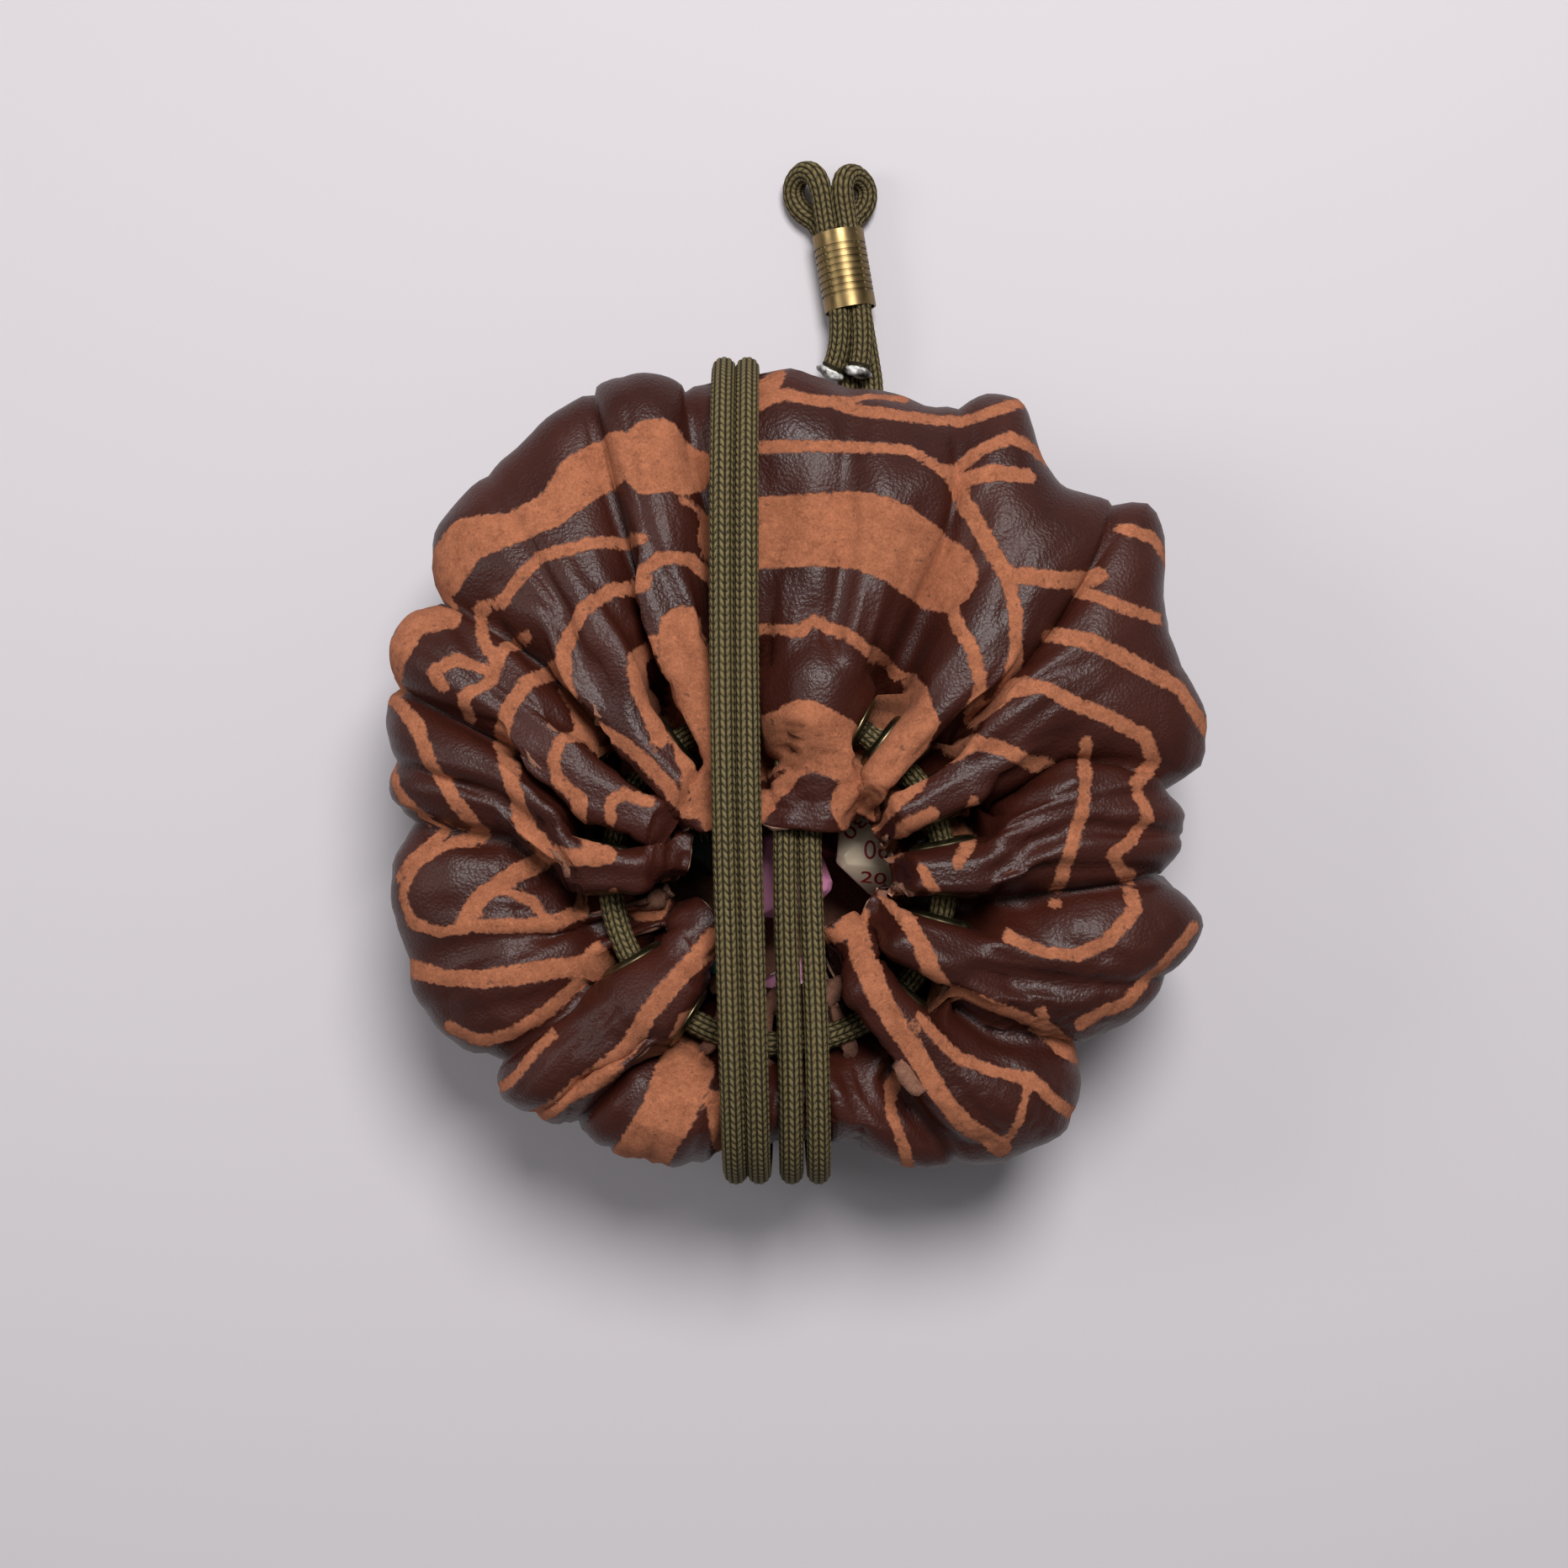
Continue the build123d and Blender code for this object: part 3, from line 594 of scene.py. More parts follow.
# Raw suede stripes: half width, then azimuth in degrees and radius in millimetres about the neck.
stripes = [
    (1.1, [(-5, 66), (0, 64), (4, 61), (6, 65), (9, 68.5), (13, 68)]),
    (1.2, [(-5, 51), (5, 53), (14, 57.5), (24, 61.5)]),
    (1.1, [(5, 32.5), (12, 35.5), (21, 38)]),
    (1.5, [(11, 21.5), (17, 23.5), (22, 25), (22.5, 30)]),
    (1.3, [(22.5, 54), (25, 50), (30, 47), (35, 43), (35.5, 38)]),
    (1.3, [(15, 68), (16.5, 72.5), (21, 72), (26, 67), (31, 62), (36, 59), (39, 54), (39, 49)]),
    (1.5, [(19, 84), (25, 82), (31, 76), (37, 71), (42, 66)]),
    (1.2, [(34, 85), (38, 80), (43.5, 76)]),
    (1.2, [(38, 94), (42, 94), (46, 90)]),
    (1.5, [(43, 81), (47, 74), (53, 69), (58, 72), (62, 75.5), (66, 79), (62, 84), (58, 87)]),
    (1.2, [(39, 52), (43, 59), (48, 64.5), (53, 69)]),
    (1.3, [(39, 46), (44, 51), (50, 54.5), (56, 57), (60, 61), (63, 64)]),
    (1.1, [(55, 43), (65, 44), (75, 46), (82, 47.5), (85, 45), (95, 45.5)]),
    (1.1, [(66, 79.5), (73, 82), (80, 80), (95, 79)]),
    (1.2, [(57, 93), (62, 92), (65, 86), (67, 80)]),
    (1.2, [(63, 99), (67, 93), (71, 90), (77, 88), (84, 88), (91, 89)]),
    (0.9, [(75, 93), (79, 92), (83, 89)]),
    (1.5, [(80, 20), (88, 17), (96, 15), (108, 12)]),
    (1.2, [(102, 56), (105, 60), (110, 62), (115, 60.5)]),
    (0.6, [(100, 64), (102, 69), (104, 71)]),
    (1.2, [(112, 66.5), (119, 70), (127, 73), (135, 71.5)]),
    (1.3, [(114, 58), (120, 60.5), (126, 60), (133, 57), (138, 52), (141, 46), (144, 41)]),
    (1.6, [(118, 48), (123, 47.5), (126, 43), (127, 37), (130, 33)]),
    (1.1, [(136, 63.5), (140, 65.5), (145, 63.5), (150, 66), (153, 63.5)]),
    (1.1, [(135, 71), (138, 74), (141, 70), (142, 66)]),
    (1.1, [(144, 65), (146, 71), (149, 73), (150, 70)]),
    (1.3, [(155, 80), (157, 72), (162, 66), (167, 60), (172, 55)]),
    (1.1, [(164, 76), (168, 71), (171, 66)]),
    (1.5, [(137, 56), (142, 58), (148, 58), (153, 57), (158, 52.5), (164, 49), (169, 47), (172, 43)]),
    (1.1, [(141, 43), (147, 46.5), (152, 46), (156, 43.5), (158, 38)]),
    (1.1, [(149, 27), (151, 32), (155, 33.3), (161, 32)]),
    (1.3, [(160, 38.5), (165, 37), (170, 34), (174, 32.5)]),
    (1.0, [(172, 56), (174, 61), (178, 67), (183, 70), (188, 68)]),
    (0.9, [(172, 62), (176, 67), (180, 71)]),
    (1.7, [(172, 31), (175, 42), (179, 48), (184, 55), (189, 58.5)]),
    (1.2, [(187, 69), (189.5, 63), (189, 57), (190, 50), (191.5, 43), (190, 37)]),
    (0.9, [(181, 52), (186, 45), (191, 43)]),
    (1.8, [(194, 71), (197, 64), (199, 57), (201, 48), (204, 40), (204, 36)]),
    (1.3, [(205, 68), (209, 63), (210.5, 57), (210, 48), (208, 42), (208, 34)]),
    (0.9, [(217, 67), (217.5, 62), (216.5, 56), (215.5, 50)]),
    (1.7, [(225, 63), (226, 55), (227.5, 47), (228.5, 41), (226, 33), (225, 25), (222, 16)]),
    (1.7, [(259, 52), (257, 47), (254, 42)]),
    (1.0, [(186, 30), (191, 29), (197, 27), (199, 24), (195, 22), (186, 21)]),
    (1.1, [(294, 62), (295, 54), (297, 47), (300, 43)]),
    (1.9, [(309, 66), (307, 58), (306.5, 50), (308, 42), (309, 34), (311, 27), (316, 22), (324, 18),
           (336, 16)]),
    (0.8, [(308, 66), (312, 64.5), (320, 59.5)]),
    (1.1, [(321, 71), (321, 65), (321.5, 59), (318, 52), (315.5, 46), (315.5, 40), (316, 36)]),
    (1.5, [(329, 66), (330, 58), (329, 50), (328, 43), (326, 37), (330, 32), (336, 28), (343, 24),
           (351, 20)]),
    (0.9, [(330, 57), (333, 54)]),
    (1.2, [(334, 62), (340, 68), (346, 72), (353, 77.5)]),
    (1.3, [(360, 65), (354, 65), (349, 61), (345.5, 56), (345, 50), (347, 43)]),
    (1.0, [(355, 28.5), (364, 26)]),
    (1.4, [(311, 14), (318, 15.5), (328, 15)])]
# Wider raw patches: azimuth, radius and half width at each point.
patches = [
    [(41, 20, 5.5), (43, 30, 5.5), (48, 37, 4.5), (54, 42, 2.0)],
    [(62, 63, 6.5), (70, 64.5, 7), (78, 65, 7), (86, 63.5, 6.7), (97, 63.5, 6.7)],
    [(56, 26, 4.8), (68, 26, 5.6), (80, 27, 5.8), (90, 25, 5), (98, 21, 3)],
    [(90, 93, 1.5), (92, 88, 2.5)],
    [(103, 77, 5), (106, 80, 7.5)],
    [(111, 83, 4.5), (116, 82, 5), (121, 79.5, 3.6), (127, 80.5, 3), (133, 84.5, 4.3), (138, 84, 5)],
    [(110.5, 48, 4.6), (112, 43, 5.2), (117, 33, 5), (124, 22, 4.6), (134, 15, 3.5)],
    [(141, 44, 1.3), (139.5, 38, 1.5), (138.7, 33, 1.5), (140, 26, 1.4), (143, 20, 1.3)],
    [(142, 77, 2.2), (145, 82, 3), (150, 81.5, 3), (155, 80, 2)],
    [(244, 59, 5.2), (245, 48, 4.9), (244, 39, 5.4), (240, 31, 3.2)]]
# Below the belly the stripes are wavy rings. A wave has a height, a count round the bag and a turn.
ringStripes = {"waves": ((7, 3, 40), (4, 7, 0)), "spacing": 21, "half": 1.3, "from": 3, "fadeFrom": 2,
               "unmarked": 30.0}


def onPlan(azimuth, radius):
    return np.array((neck.x + radius * cos(radians(azimuth)), neck.y + radius * sin(radians(azimuth))))


# distance in millimetres to the edge of the raw stripes, negative inside them
def stripeField(x, y, belowBelly):
    azimuth = np.degrees(np.arctan2(y - neck.y, x - neck.x))
    field = np.full(len(x), ringStripes["unmarked"])
    tracks = [[(turn, radius, half) for turn, radius in points] for half, points in stripes] + patches
    here = np.stack([x, y], axis=1)
    for track in tracks:
        for (turnA, radiusA, halfA), (turnB, radiusB, halfB) in zip(track, track[1:]):
            first, second = onPlan(turnA, radiusA), onPlan(turnB, radiusB)
            run = second - first
            share = np.clip(((here - first) @ run) / (run @ run), 0, 1)
            distance = np.linalg.norm(here - first - share[:, None] * run, axis=1)
            field = np.minimum(field, distance - halfA - (halfB - halfA) * share)
    wave = sum(height * np.sin(np.radians(azimuth * count + turn))
               for height, count, turn in ringStripes["waves"])
    spacing = ringStripes["spacing"]
    rings = np.abs((belowBelly + wave) % spacing - spacing / 2) - ringStripes["half"]
    fading = np.maximum(field, ringStripes["fadeFrom"] - belowBelly)
    return np.where(belowBelly > ringStripes["from"], rings, np.where(belowBelly > 0, fading, field))


def gatheredLeather():
    settings = leatherSettings
    belly = settings["baseRows"] + settings["sideRows"]
    top = belly + settings["topRows"]
    rows = top + settings["petalRows"]
    bm = bmesh.new()
    bmesh.ops.create_grid(bm, x_segments=settings["columns"] * len(cells), y_segments=rows, size=0.5)
    mesh = bpy.data.meshes.new("gatheredLeather")
    bm.to_mesh(mesh)
    bm.free()
    flat = pointValues(mesh, "co")
    across = (flat[:, 0] + 0.5) * len(cells)
    down = (flat[:, 1] + 0.5) * rows
    places = np.stack(leatherPlaces(across, down), axis=1)
    seam = 1e-4  # the sheet's first and last columns of points are one
    closing, opening = across > len(cells) - seam, across < seam
    places[closing] = places[opening]
    mesh.vertices.foreach_set("co", places.ravel())
    mesh.update()

    normals = pointValues(mesh, "normal")
    outward = places - np.array(settings["heart"])
    if np.sum(normals[down < top] * outward[down < top]) < 0:
        mesh.flip_normals()
        normals = -normals
    normals[closing] = normals[opening] = normals[opening] + normals[closing]
    normals /= np.maximum(np.linalg.norm(normals, axis=1, keepdims=True), 1e-6)
    inward = smoothStep(settings["baseRows"] * settings["inwardFrom"], belly, down)
    belowBelly = np.where(down < belly, (belly - down) * settings["rowStep"], 0)
    field = stripeField(places[:, 0], places[:, 1], belowBelly)
    wrinkle(places, normals, inward)
    walls = eyeletWalls()
    inHole = flattenAtEyelets(places, across, walls)
    pressUnderCords(places, normals, [cords[name][1] for name in ("leftWrap", "rightWrap")])
    flattenAtEyelets(places, across, walls)
    places[closing] = places[opening]
    mesh.vertices.foreach_set("co", (places * mm).ravel())
    stripe = mesh.attributes.new("stripe", "FLOAT", "POINT")
    stripe.data.foreach_set("value", field)

    bm = bmesh.new()
    bm.from_mesh(mesh)
    bm.verts.ensure_lookup_table()
    holed = [bm.verts[number] for number in np.nonzero(inHole)[0]]
    bmesh.ops.delete(bm, geom=holed, context="VERTS")
    bmesh.ops.remove_doubles(bm, verts=bm.verts, dist=settings["mergeWithin"] * mm)
    bm.to_mesh(mesh)
    bm.free()
    piece = linked("gatheredLeather", mesh)
    wall = piece.modifiers.new("wall", "SOLIDIFY")
    wall.thickness = settings["thickness"] * mm
    wall.offset = -1
    wall.use_rim = True
    wall.material_offset = 1
    wall.material_offset_rim = 2
    print("leather", len(mesh.vertices), "points,", len(mesh.polygons), "faces")
    return piece


leatherPiece = gatheredLeather()

white, black = (1, 1, 1, 1), (0, 0, 0, 1)
grainLooks = {"smoothness": 0.35, "finer": 2.3, "fineShare": 0.35, "tone": {"Scale": 60, "Detail": 4}}


# pebbled grain: cells over finer cells, with a slow change of tone
def grainGroup():
    group, start, end = newGroup("pebbleGrain", [("Vector", "Vector"), ("Scale", "Float")],
                                 [("Height", "Float"), ("Tone", "Float")])
    links = group.links
    pebbles = addNode(group, "ShaderNodeTexVoronoi", feature="SMOOTH_F1")
    pebbles.inputs["Smoothness"].default_value = grainLooks["smoothness"]
    fine = addNode(group, "ShaderNodeTexVoronoi", feature="F1")
    for node in (pebbles, fine):
        links.new(start.outputs["Vector"], node.inputs["Vector"])
    tone = noiseOf(group, start.outputs["Vector"], **grainLooks["tone"])
    links.new(start.outputs["Scale"], pebbles.inputs["Scale"])
    links.new(times(group, start.outputs["Scale"], grainLooks["finer"]), fine.inputs["Scale"])
    both = plus(group, times(group, pebbles.outputs["Distance"], -1.0),
                times(group, fine.outputs["Distance"], -grainLooks["fineShare"]))
    links.new(plus(group, both, 1.0), end.inputs["Height"])
    links.new(tone, end.inputs["Tone"])
    return group


suedeLooks = {"fibres": {"Scale": 1250, "Detail": 5, "Distortion": 1.4}, "fibreShare": 1.3,
              "cloud": {"Scale": 300, "Detail": 4}, "cloudShare": 0.8, "darken": 0.55,
              "pits": {"Scale": 520, "Detail": 2}, "pitFull": 0.27, "pitEdge": 0.33, "pitShare": 0.7,
              "pitDepth": 0.5, "pit": (0.12, 0.05, 0.03, 1)}


# raw suede: short matted fibres, with small dark pits
def suedeGroup():
    looks = suedeLooks
    group, start, end = newGroup("rawSuede", [("Vector", "Vector"), ("Light", "Color"), ("Dark", "Color")],
                                 [("Color", "Color"), ("Height", "Float")])
    place = start.outputs["Vector"]
    fibres, cloud, pits = (noiseOf(group, place, **looks[name]) for name in ("fibres", "cloud", "pits"))
    shade = plus(group, times(group, fibres, looks["fibreShare"]), times(group, cloud, looks["cloudShare"]))
    shade = minus(group, shade, looks["darken"], clamp=True)
    colour = mixColour(group, shade, start.outputs["Dark"], start.outputs["Light"])
    spots = ramp(group, pits, (0.0, white), (looks["pitFull"], white), (looks["pitEdge"], black))
    colour = mixColour(group, times(group, spots, looks["pitShare"]), colour, looks["pit"])
    group.links.new(colour, end.inputs["Color"])
    group.links.new(minus(group, fibres, times(group, spots, looks["pitDepth"])), end.inputs["Height"])
    return group


pebbleGrain = grainGroup()
rawSuede = suedeGroup()

# rim is a painted shadow along the edges of the raw stripes
leatherLooks = {"brown": (0.019, 0.0044, 0.0030, 1), "warm": (0.062, 0.0120, 0.0062, 1),
                "light": (0.49, 0.178, 0.088, 1), "tan": (0.17, 0.052, 0.023, 1),
                "rim": (0.02, 0.006, 0.004, 1), "rimSharpness": 0.8, "rimFull": 0.45, "rimEnd": 0.75,
                "rimShare": 0.35, "grainScale": 1500.0, "jag": 0.7,
                "jagged": {"Scale": 900, "Detail": 3}, "maskSharpness": 2.5,
                "shader": {"Specular IOR Level": 0.3}, "roughness": 0.34, "toneRoughness": 0.22,
                "grainPolish": 0.10, "suedeRoughness": 0.6, "suedeHeight": 0.9, "suedeDrop": 0.8,
                "bump": (0.5, 0.18)}


def leatherFace():
    looks = leatherLooks
    material, tree, shader = newMaterial("pebbledLeather", **looks["shader"])
    place = objectPlace(tree)
    grain = useGroup(tree, pebbleGrain, Vector=place, Scale=looks["grainScale"])
    suede = useGroup(tree, rawSuede, Vector=place, Light=looks["light"], Dark=looks["tan"])
    field = addNode(tree, "ShaderNodeAttribute", attribute_name="stripe").outputs["Fac"]
    jagged = noiseOf(tree, place, **looks["jagged"])
    edge = plus(tree, field, times(tree, minus(tree, jagged, 0.5), looks["jag"] * 2))
    inside = plus(tree, times(tree, edge, looks["maskSharpness"]), 0.5)
    mask = ramp(tree, inside, (0.0, white), (1.0, black))
    dark = mixColour(tree, grain.outputs["Tone"], looks["brown"], looks["warm"])
    # painted shadow: the leather next to each stripe's edge is darkened towards the rim colour
    rim = ramp(tree, plus(tree, times(tree, edge, looks["rimSharpness"]), 0.5),
               (looks["rimFull"], white), (looks["rimEnd"], black))
    dark = mixColour(tree, times(tree, rim, looks["rimShare"]), dark, looks["rim"])
    colour = mixColour(tree, mask, dark, suede.outputs["Color"])
    rough = plus(tree, times(tree, grain.outputs["Tone"], looks["toneRoughness"]),
                 times(tree, grain.outputs["Height"], -looks["grainPolish"]))
    rough = plus(tree, rough, looks["roughness"])
    rough = plus(tree, rough, times(tree, mask, looks["suedeRoughness"]), clamp=True)
    tree.links.new(rough, shader.inputs["Roughness"])
    height = times(tree, grain.outputs["Height"], minus(tree, 1.0, mask))
    height = plus(tree, height, times(tree, suede.outputs["Height"], times(tree, mask, looks["suedeHeight"])))
    height = minus(tree, height, times(tree, mask, looks["suedeDrop"]))
    paint(tree, shader, colour, height, looks["bump"])
    return material


bareLooks = {"fleshSide": {"Light": (0.30, 0.14, 0.085, 1), "Dark": (0.12, 0.045, 0.028, 1)},
             "cutEdge": {"Light": (0.66, 0.42, 0.30, 1), "Dark": (0.34, 0.16, 0.10, 1)},
             "shader": {"Roughness": 0.92}, "bump": (0.6, 0.2)}


def bareSuede(name):
    material, tree, shader = newMaterial(name, **bareLooks["shader"])
    suede = useGroup(tree, rawSuede, Vector=objectPlace(tree), **bareLooks[name])
    paint(tree, shader, suede.outputs["Color"], suede.outputs["Height"], bareLooks["bump"])
    return material


finishPiece(leatherPiece, "pouch", leatherFace(), "leather_pouch", slot="leather")
for name in ("fleshSide", "cutEdge"):  # the solidified inside and rim take these two
    leatherPiece.data.materials.append(bareSuede(name))
print("leather looks done")

# the darkest colour is painted shade in the braid's gaps and the lightest is a painted highlight on its
# crests; olive is the cord's own colour
cordLooks = {"light": (0.20, 0.152, 0.068, 1), "olive": (0.074, 0.054, 0.02, 1),
             "gap": (0.006, 0.005, 0.0015, 1), "gapTo": 0.34, "oliveAt": 0.58, "lightAt": 0.92,
             "fibre": {"Scale": 2600, "Detail": 3}, "fibreShare": 0.35, "tone": {"Scale": 90},
             "toneShare": 0.25, "shader": {"Roughness": 0.85, "Specular IOR Level": 0.25},
             "bump": (0.35, 0.08)}


def cordMaterial():
    looks = cordLooks
    material, tree, shader = newMaterial("oliveBraid", **looks["shader"])
    weave = addNode(tree, "ShaderNodeAttribute", attribute_name="weave")
    split = addNode(tree, "ShaderNodeSeparateXYZ")
    tree.links.new(weave.outputs["Vector"], split.inputs[0])
    place = objectPlace(tree)
    fibre, tone = noiseOf(tree, place, **looks["fibre"]), noiseOf(tree, place, **looks["tone"])
    lift = plus(tree, split.outputs["Z"], times(tree, minus(tree, fibre, 0.5), looks["fibreShare"]))
    # the colour follows the weave's height: painted shade in the gaps, the cord's olive between, and a
    # painted highlight on the crests
    colour = ramp(tree, lift, (0.0, looks["gap"]), (looks["gapTo"], looks["gap"]),
                  (looks["oliveAt"], looks["olive"]), (looks["lightAt"], looks["light"]))
    colour = mixColour(tree, times(tree, tone, looks["toneShare"]), colour, looks["olive"])
    paint(tree, shader, colour, fibre, looks["bump"])
    return material


oliveBraid = cordMaterial()

brassLooks = {
    "antiqueBrass": {"dark": (0.045, 0.038, 0.02, 1), "worn": (0.34, 0.29, 0.16, 1), "wear": 0.35},
    "ferruleBrass": {"dark": (0.055, 0.038, 0.014, 1), "worn": (0.24, 0.165, 0.072, 1), "wear": 0.9},
    "tarnish": {"Scale": 420, "Detail": 6}, "edgeWear": 6.0, "roughness": 0.24, "roughChange": 0.3,
    "shader": {"Metallic": 1.0}, "bump": (0.15, 0.05)}


def brassMaterial(name):
    looks, own = brassLooks, brassLooks[name]
    material, tree, shader = newMaterial(name, **looks["shader"])
    tarnish = noiseOf(tree, objectPlace(tree), **looks["tarnish"])
    pointed = addNode(tree, "ShaderNodeNewGeometry").outputs["Pointiness"]
    raised = times(tree, minus(tree, pointed, 0.5), looks["edgeWear"], clamp=True)
    share = plus(tree, times(tree, tarnish, own["wear"]), raised, clamp=True)
    rough = plus(tree, times(tree, tarnish, looks["roughChange"]), looks["roughness"])
    tree.links.new(rough, shader.inputs["Roughness"])
    paint(tree, shader, mixColour(tree, share, own["dark"], own["worn"]), tarnish, looks["bump"])
    return material


antiqueBrass, ferruleBrass = brassMaterial("antiqueBrass"), brassMaterial("ferruleBrass")
for node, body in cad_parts.items():
    if node.startswith("eyelet") or node == "brass_ferrule":
        body.data.materials.clear()
        body.data.materials.append(ferruleBrass if node == "brass_ferrule" else antiqueBrass)
print("brass done")

diceLooks = {"pink": (0.62, 0.23, 0.38, 1), "cream": (0.68, 0.55, 0.40, 1),
             "green": (0.015, 0.085, 0.065, 1),
             "swirl": {"Scale": 70, "Distortion": 2.5}, "paler": 1.35, "paleLift": 0.02,
             "shader": {"Roughness": 0.18, "Coat Weight": 0.4}, "bump": (0.05, 0.1)}
inkLooks = {"pink": (0.85, 0.84, 0.80, 1), "cream": (0.40, 0.012, 0.014, 1), "green": (0.72, 0.60, 0.30, 1),
            "speck": {"Scale": 900}, "darker": 0.7, "shader": {"Roughness": 0.5}}


def diceMaterial(colour):
    looks, base = diceLooks, diceLooks[colour]
    material, tree, shader = newMaterial(colour + "Dice", **looks["shader"])
    swirl = noiseOf(tree, objectPlace(tree), **looks["swirl"])
    pale = tuple(min(1.0, value * looks["paler"] + looks["paleLift"]) for value in base[:3]) + (1,)
    paint(tree, shader, mixColour(tree, swirl, base, pale), swirl, looks["bump"])
    return material


def inkMaterial(colour):
    base = inkLooks[colour]
    material, tree, shader = newMaterial(colour + "Ink", **inkLooks["shader"])
    speck = noiseOf(tree, objectPlace(tree), **inkLooks["speck"])
    darker = tuple(value * inkLooks["darker"] for value in base[:3]) + (1,)
    tree.links.new(mixColour(tree, speck, base, darker), shader.inputs["Base Color"])
    return material


diceSettings = {"bevel": 0.55, "bevelSteps": 3, "ink": 0.06, "numberSize": 1.25, "usualShare": 0.5,
                "numberShare": {"d20": 0.42, "d8": 0.42, "d4": 0.42},  # less room on a triangle
                "flatShare": 0.5, "flatAngle": 3, "mergeWithin": 0.001}


# a copy of a solid's mesh as whole flat faces
def mergedCopy(node):
    bm = bmesh.new()
    bm.from_mesh(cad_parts[node].data)
    bmesh.ops.remove_doubles(bm, verts=bm.verts, dist=diceSettings["mergeWithin"] * mm)
    angle = radians(diceSettings["flatAngle"])
    bmesh.ops.dissolve_limit(bm, angle_limit=angle, verts=bm.verts, edges=bm.edges)
    return bm


def addNumber(bm, centre, normal, label, size):
    data = bpy.data.curves.new("number", "FONT")
    data.body = label
    data.size = size
    data.align_x, data.align_y = "CENTER", "CENTER"
    data.extrude = diceSettings["ink"] * mm
    data.resolution_u = 4
    mesh = meshOf(data)
    mesh.transform(Matrix.Translation(centre) @ normal.to_track_quat("Z", "Y").to_matrix().to_4x4())
    bm.from_mesh(mesh)
    bpy.data.meshes.remove(mesh)


def makeDice(colour, material, ink):
    settings = diceSettings
    for node in sorted(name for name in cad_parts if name.startswith(colour + "_")):
        kind = node.split("_")[1]
        bm = mergedCopy(node)
        flats = sorted(bm.faces, key=lambda face: -face.calc_area())
        largest = flats[0].calc_area()
        flats = [face for face in flats if face.calc_area() > settings["flatShare"] * largest]
        numbers = bmesh.new()
        share = settings["numberShare"].get(kind, settings["usualShare"])
        size = settings["numberSize"] * largest ** 0.5 * share
        for count, face in enumerate(flats, start=1):
            label = f"{count % 10}0" if kind == "percentile" else str(count % 10 if kind == "d10" else count)
            addNumber(numbers, face.calc_center_median_weighted(), face.normal.copy(), label, size)
        sharp = [edge for edge in bm.edges if all(face in flats for face in edge.link_faces)]
        bmesh.ops.bevel(bm, geom=sharp, offset=settings["bevel"] * mm, segments=settings["bevelSteps"],
                        profile=0.5, affect="EDGES", material=-1, clamp_overlap=True)
        name, slot = kind + colour.title(), colour + "_dice"
        finishPiece(toObject(name, bm), "pouch", material, node, slot=slot)
        finishPiece(toObject(name + "Numbers", numbers, smooth=False), "pouch", ink, slot=slot)


for colour in ("pink", "cream", "green"):
    makeDice(colour, diceMaterial(colour), inkMaterial(colour))
print("dice done")

tipSettings = {"radius": 2.9, "length": 2.6, "flat": 0.85, "lump": 0.16, "lumpScale": 1.7, "sunk": 0.4,
               "segments": 32, "rings": 20}
tipLooks = {"burnt": (0.01, 0.009, 0.008, 1), "grey": (0.25, 0.24, 0.22, 1), "pale": (0.78, 0.77, 0.74, 1),
            "burntTo": 0.40, "greyAt": 0.52, "paleFrom": 0.62, "blot": {"Scale": 420, "Detail": 4},
            "shader": {"Roughness": 0.3}, "bump": (0.5, 0.3)}


def meltedMaterial():
    looks = tipLooks
    material, tree, shader = newMaterial("meltedNylon", **looks["shader"])
    blot = noiseOf(tree, objectPlace(tree), **looks["blot"])
    colour = ramp(tree, blot, (looks["burntTo"], looks["burnt"]), (looks["greyAt"], looks["grey"]),
                  (looks["paleFrom"], looks["pale"]))
    paint(tree, shader, colour, blot, looks["bump"])
    return material


def meltedTip(name, route):
    settings = tipSettings
    end = Vector(route[-1])
    direction = (end - Vector(route[-2])).normalized()
    bm = bmesh.new()
    bmesh.ops.create_uvsphere(bm, u_segments=settings["segments"], v_segments=settings["rings"], radius=1)
    for vertex in bm.verts:
        place = vertex.co.copy()
        shape = Vector((len(name), 0, 0))  # the two tips differ
        lump = 1 + settings["lump"] * noise.noise(place * settings["lumpScale"] + shape)
        place.x *= settings["radius"] * lump
        place.y *= settings["radius"] * lump * settings["flat"]
        place.z *= settings["length"] / 2 * lump
        vertex.co = place
    turn = direction.to_track_quat("Z", "Y").to_matrix().to_4x4()
    centre = (end + direction * settings["length"] * settings["sunk"]) * mm
    bmesh.ops.transform(bm, matrix=Matrix.Translation(centre) @ turn @ Matrix.Scale(mm, 4), verts=bm.verts)
    return toObject(name, bm)


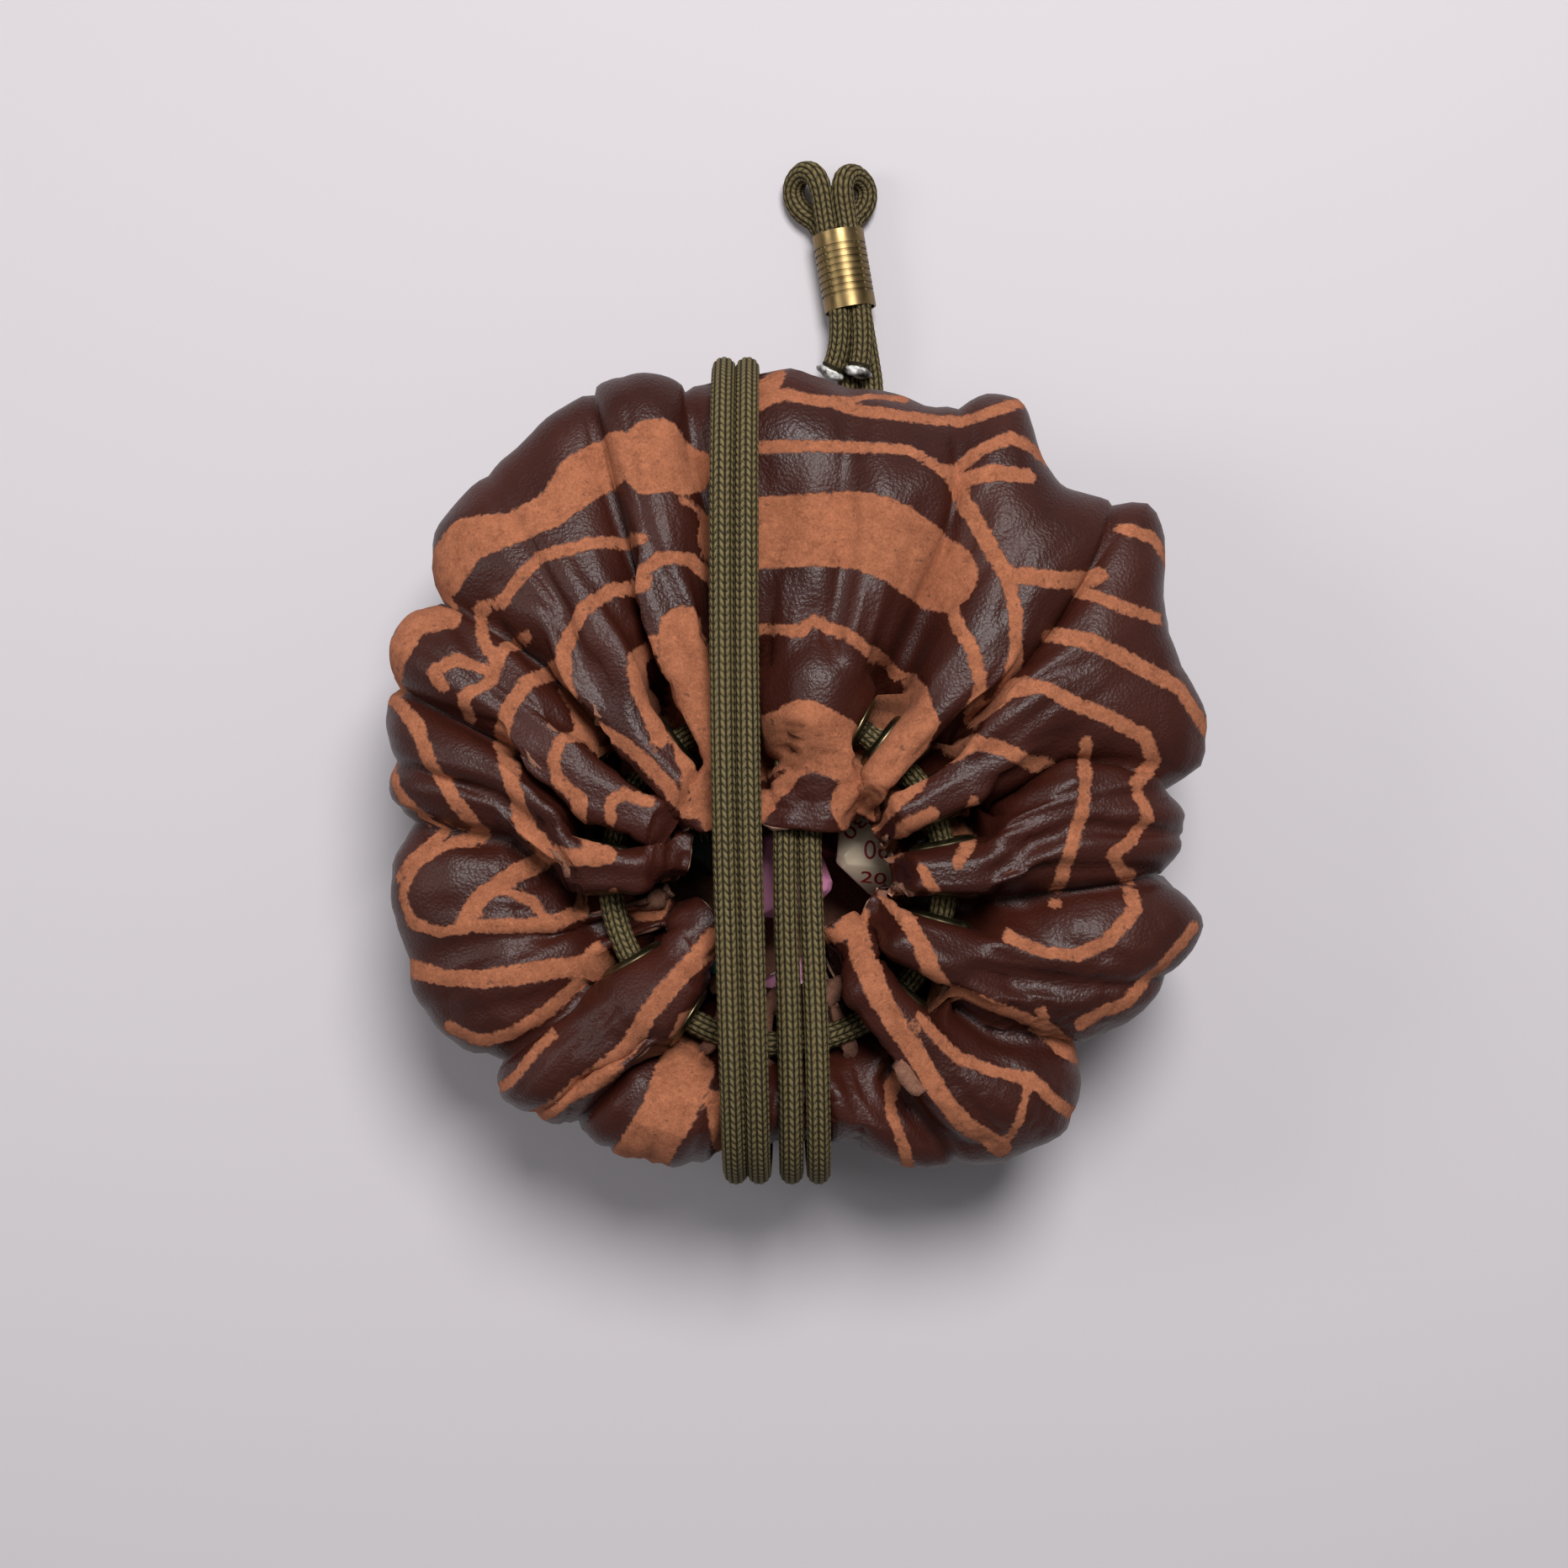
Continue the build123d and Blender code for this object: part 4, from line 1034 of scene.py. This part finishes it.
meltedNylon = meltedMaterial()
tips = {}
for side, route in (("left", leftTailRoute), ("right", rightTailRoute)):
    tips[side] = meltedTip(side + "MeltedTip", route)
    finishPiece(tips[side], "cord_tail", meltedNylon, side + "_melted_tip", slot="melted_nylon")
print("cord tips done")

for name, body, node, route, farEnd, lay in (
        ("leftWrap", "pouch", "left_wrap", leftWrapRoute, "object", "taut"),
        ("rightWrap", "pouch", "right_wrap", rightWrapRoute, "object", "taut"),
        ("drawstringRing", "pouch", "drawstring_ring", ringRoute(), "object", "taut"),
        ("leftTail", "cord_tail", "left_tail", leftTailRoute, "bare", "loose"),
        ("rightTail", "cord_tail", "right_tail", rightTailRoute, "bare", "loose")):
    piece, path, length = cords[name]
    finishPiece(piece, body, oliveBraid, node, slot="cord")
print("cords done")

# places, sizes and the floor's half width are in metres here
stageSettings = {"floorHalf": 1.5, "floor": {"Base Color": (0.60, 0.565, 0.59, 1), "Roughness": 0.7},
                 "aim": (0, 0, 0.03), "sky": (0.92, 0.92, 0.95, 1), "skyStrength": 0.19}


def paleFloor():
    bm = bmesh.new()
    bmesh.ops.create_grid(bm, x_segments=1, y_segments=1, size=stageSettings["floorHalf"])
    floor = toObject("paleFloor", bm, smooth=False)
    floor.data.materials.append(newMaterial("paleFloor", **stageSettings["floor"])[0])


def areaLight(name, place, size, power):
    data = bpy.data.lights.new(name, "AREA")
    data.shape = "DISK"
    data.size = size
    data.energy = power
    light = bpy.data.objects.new(name, data)
    light.location = place
    light.rotation_euler = (Vector(stageSettings["aim"]) - Vector(place)).to_track_quat("-Z", "Y").to_euler()
    scene.collection.objects.link(light)


paleFloor()
areaLight("overheadSoftbox", place=(0.12, 0.42, 0.9), size=0.4, power=9.6)
areaLight("sideFill", place=(-0.7, 0.15, 0.6), size=0.35, power=1.6)
world = bpy.data.worlds.new("studio")
world.use_nodes = True
world.node_tree.nodes["Background"].inputs["Color"].default_value = stageSettings["sky"]
world.node_tree.nodes["Background"].inputs["Strength"].default_value = stageSettings["skyStrength"]
scene.world = world
scene.view_settings.view_transform = "Standard"
print("floor and lights done")
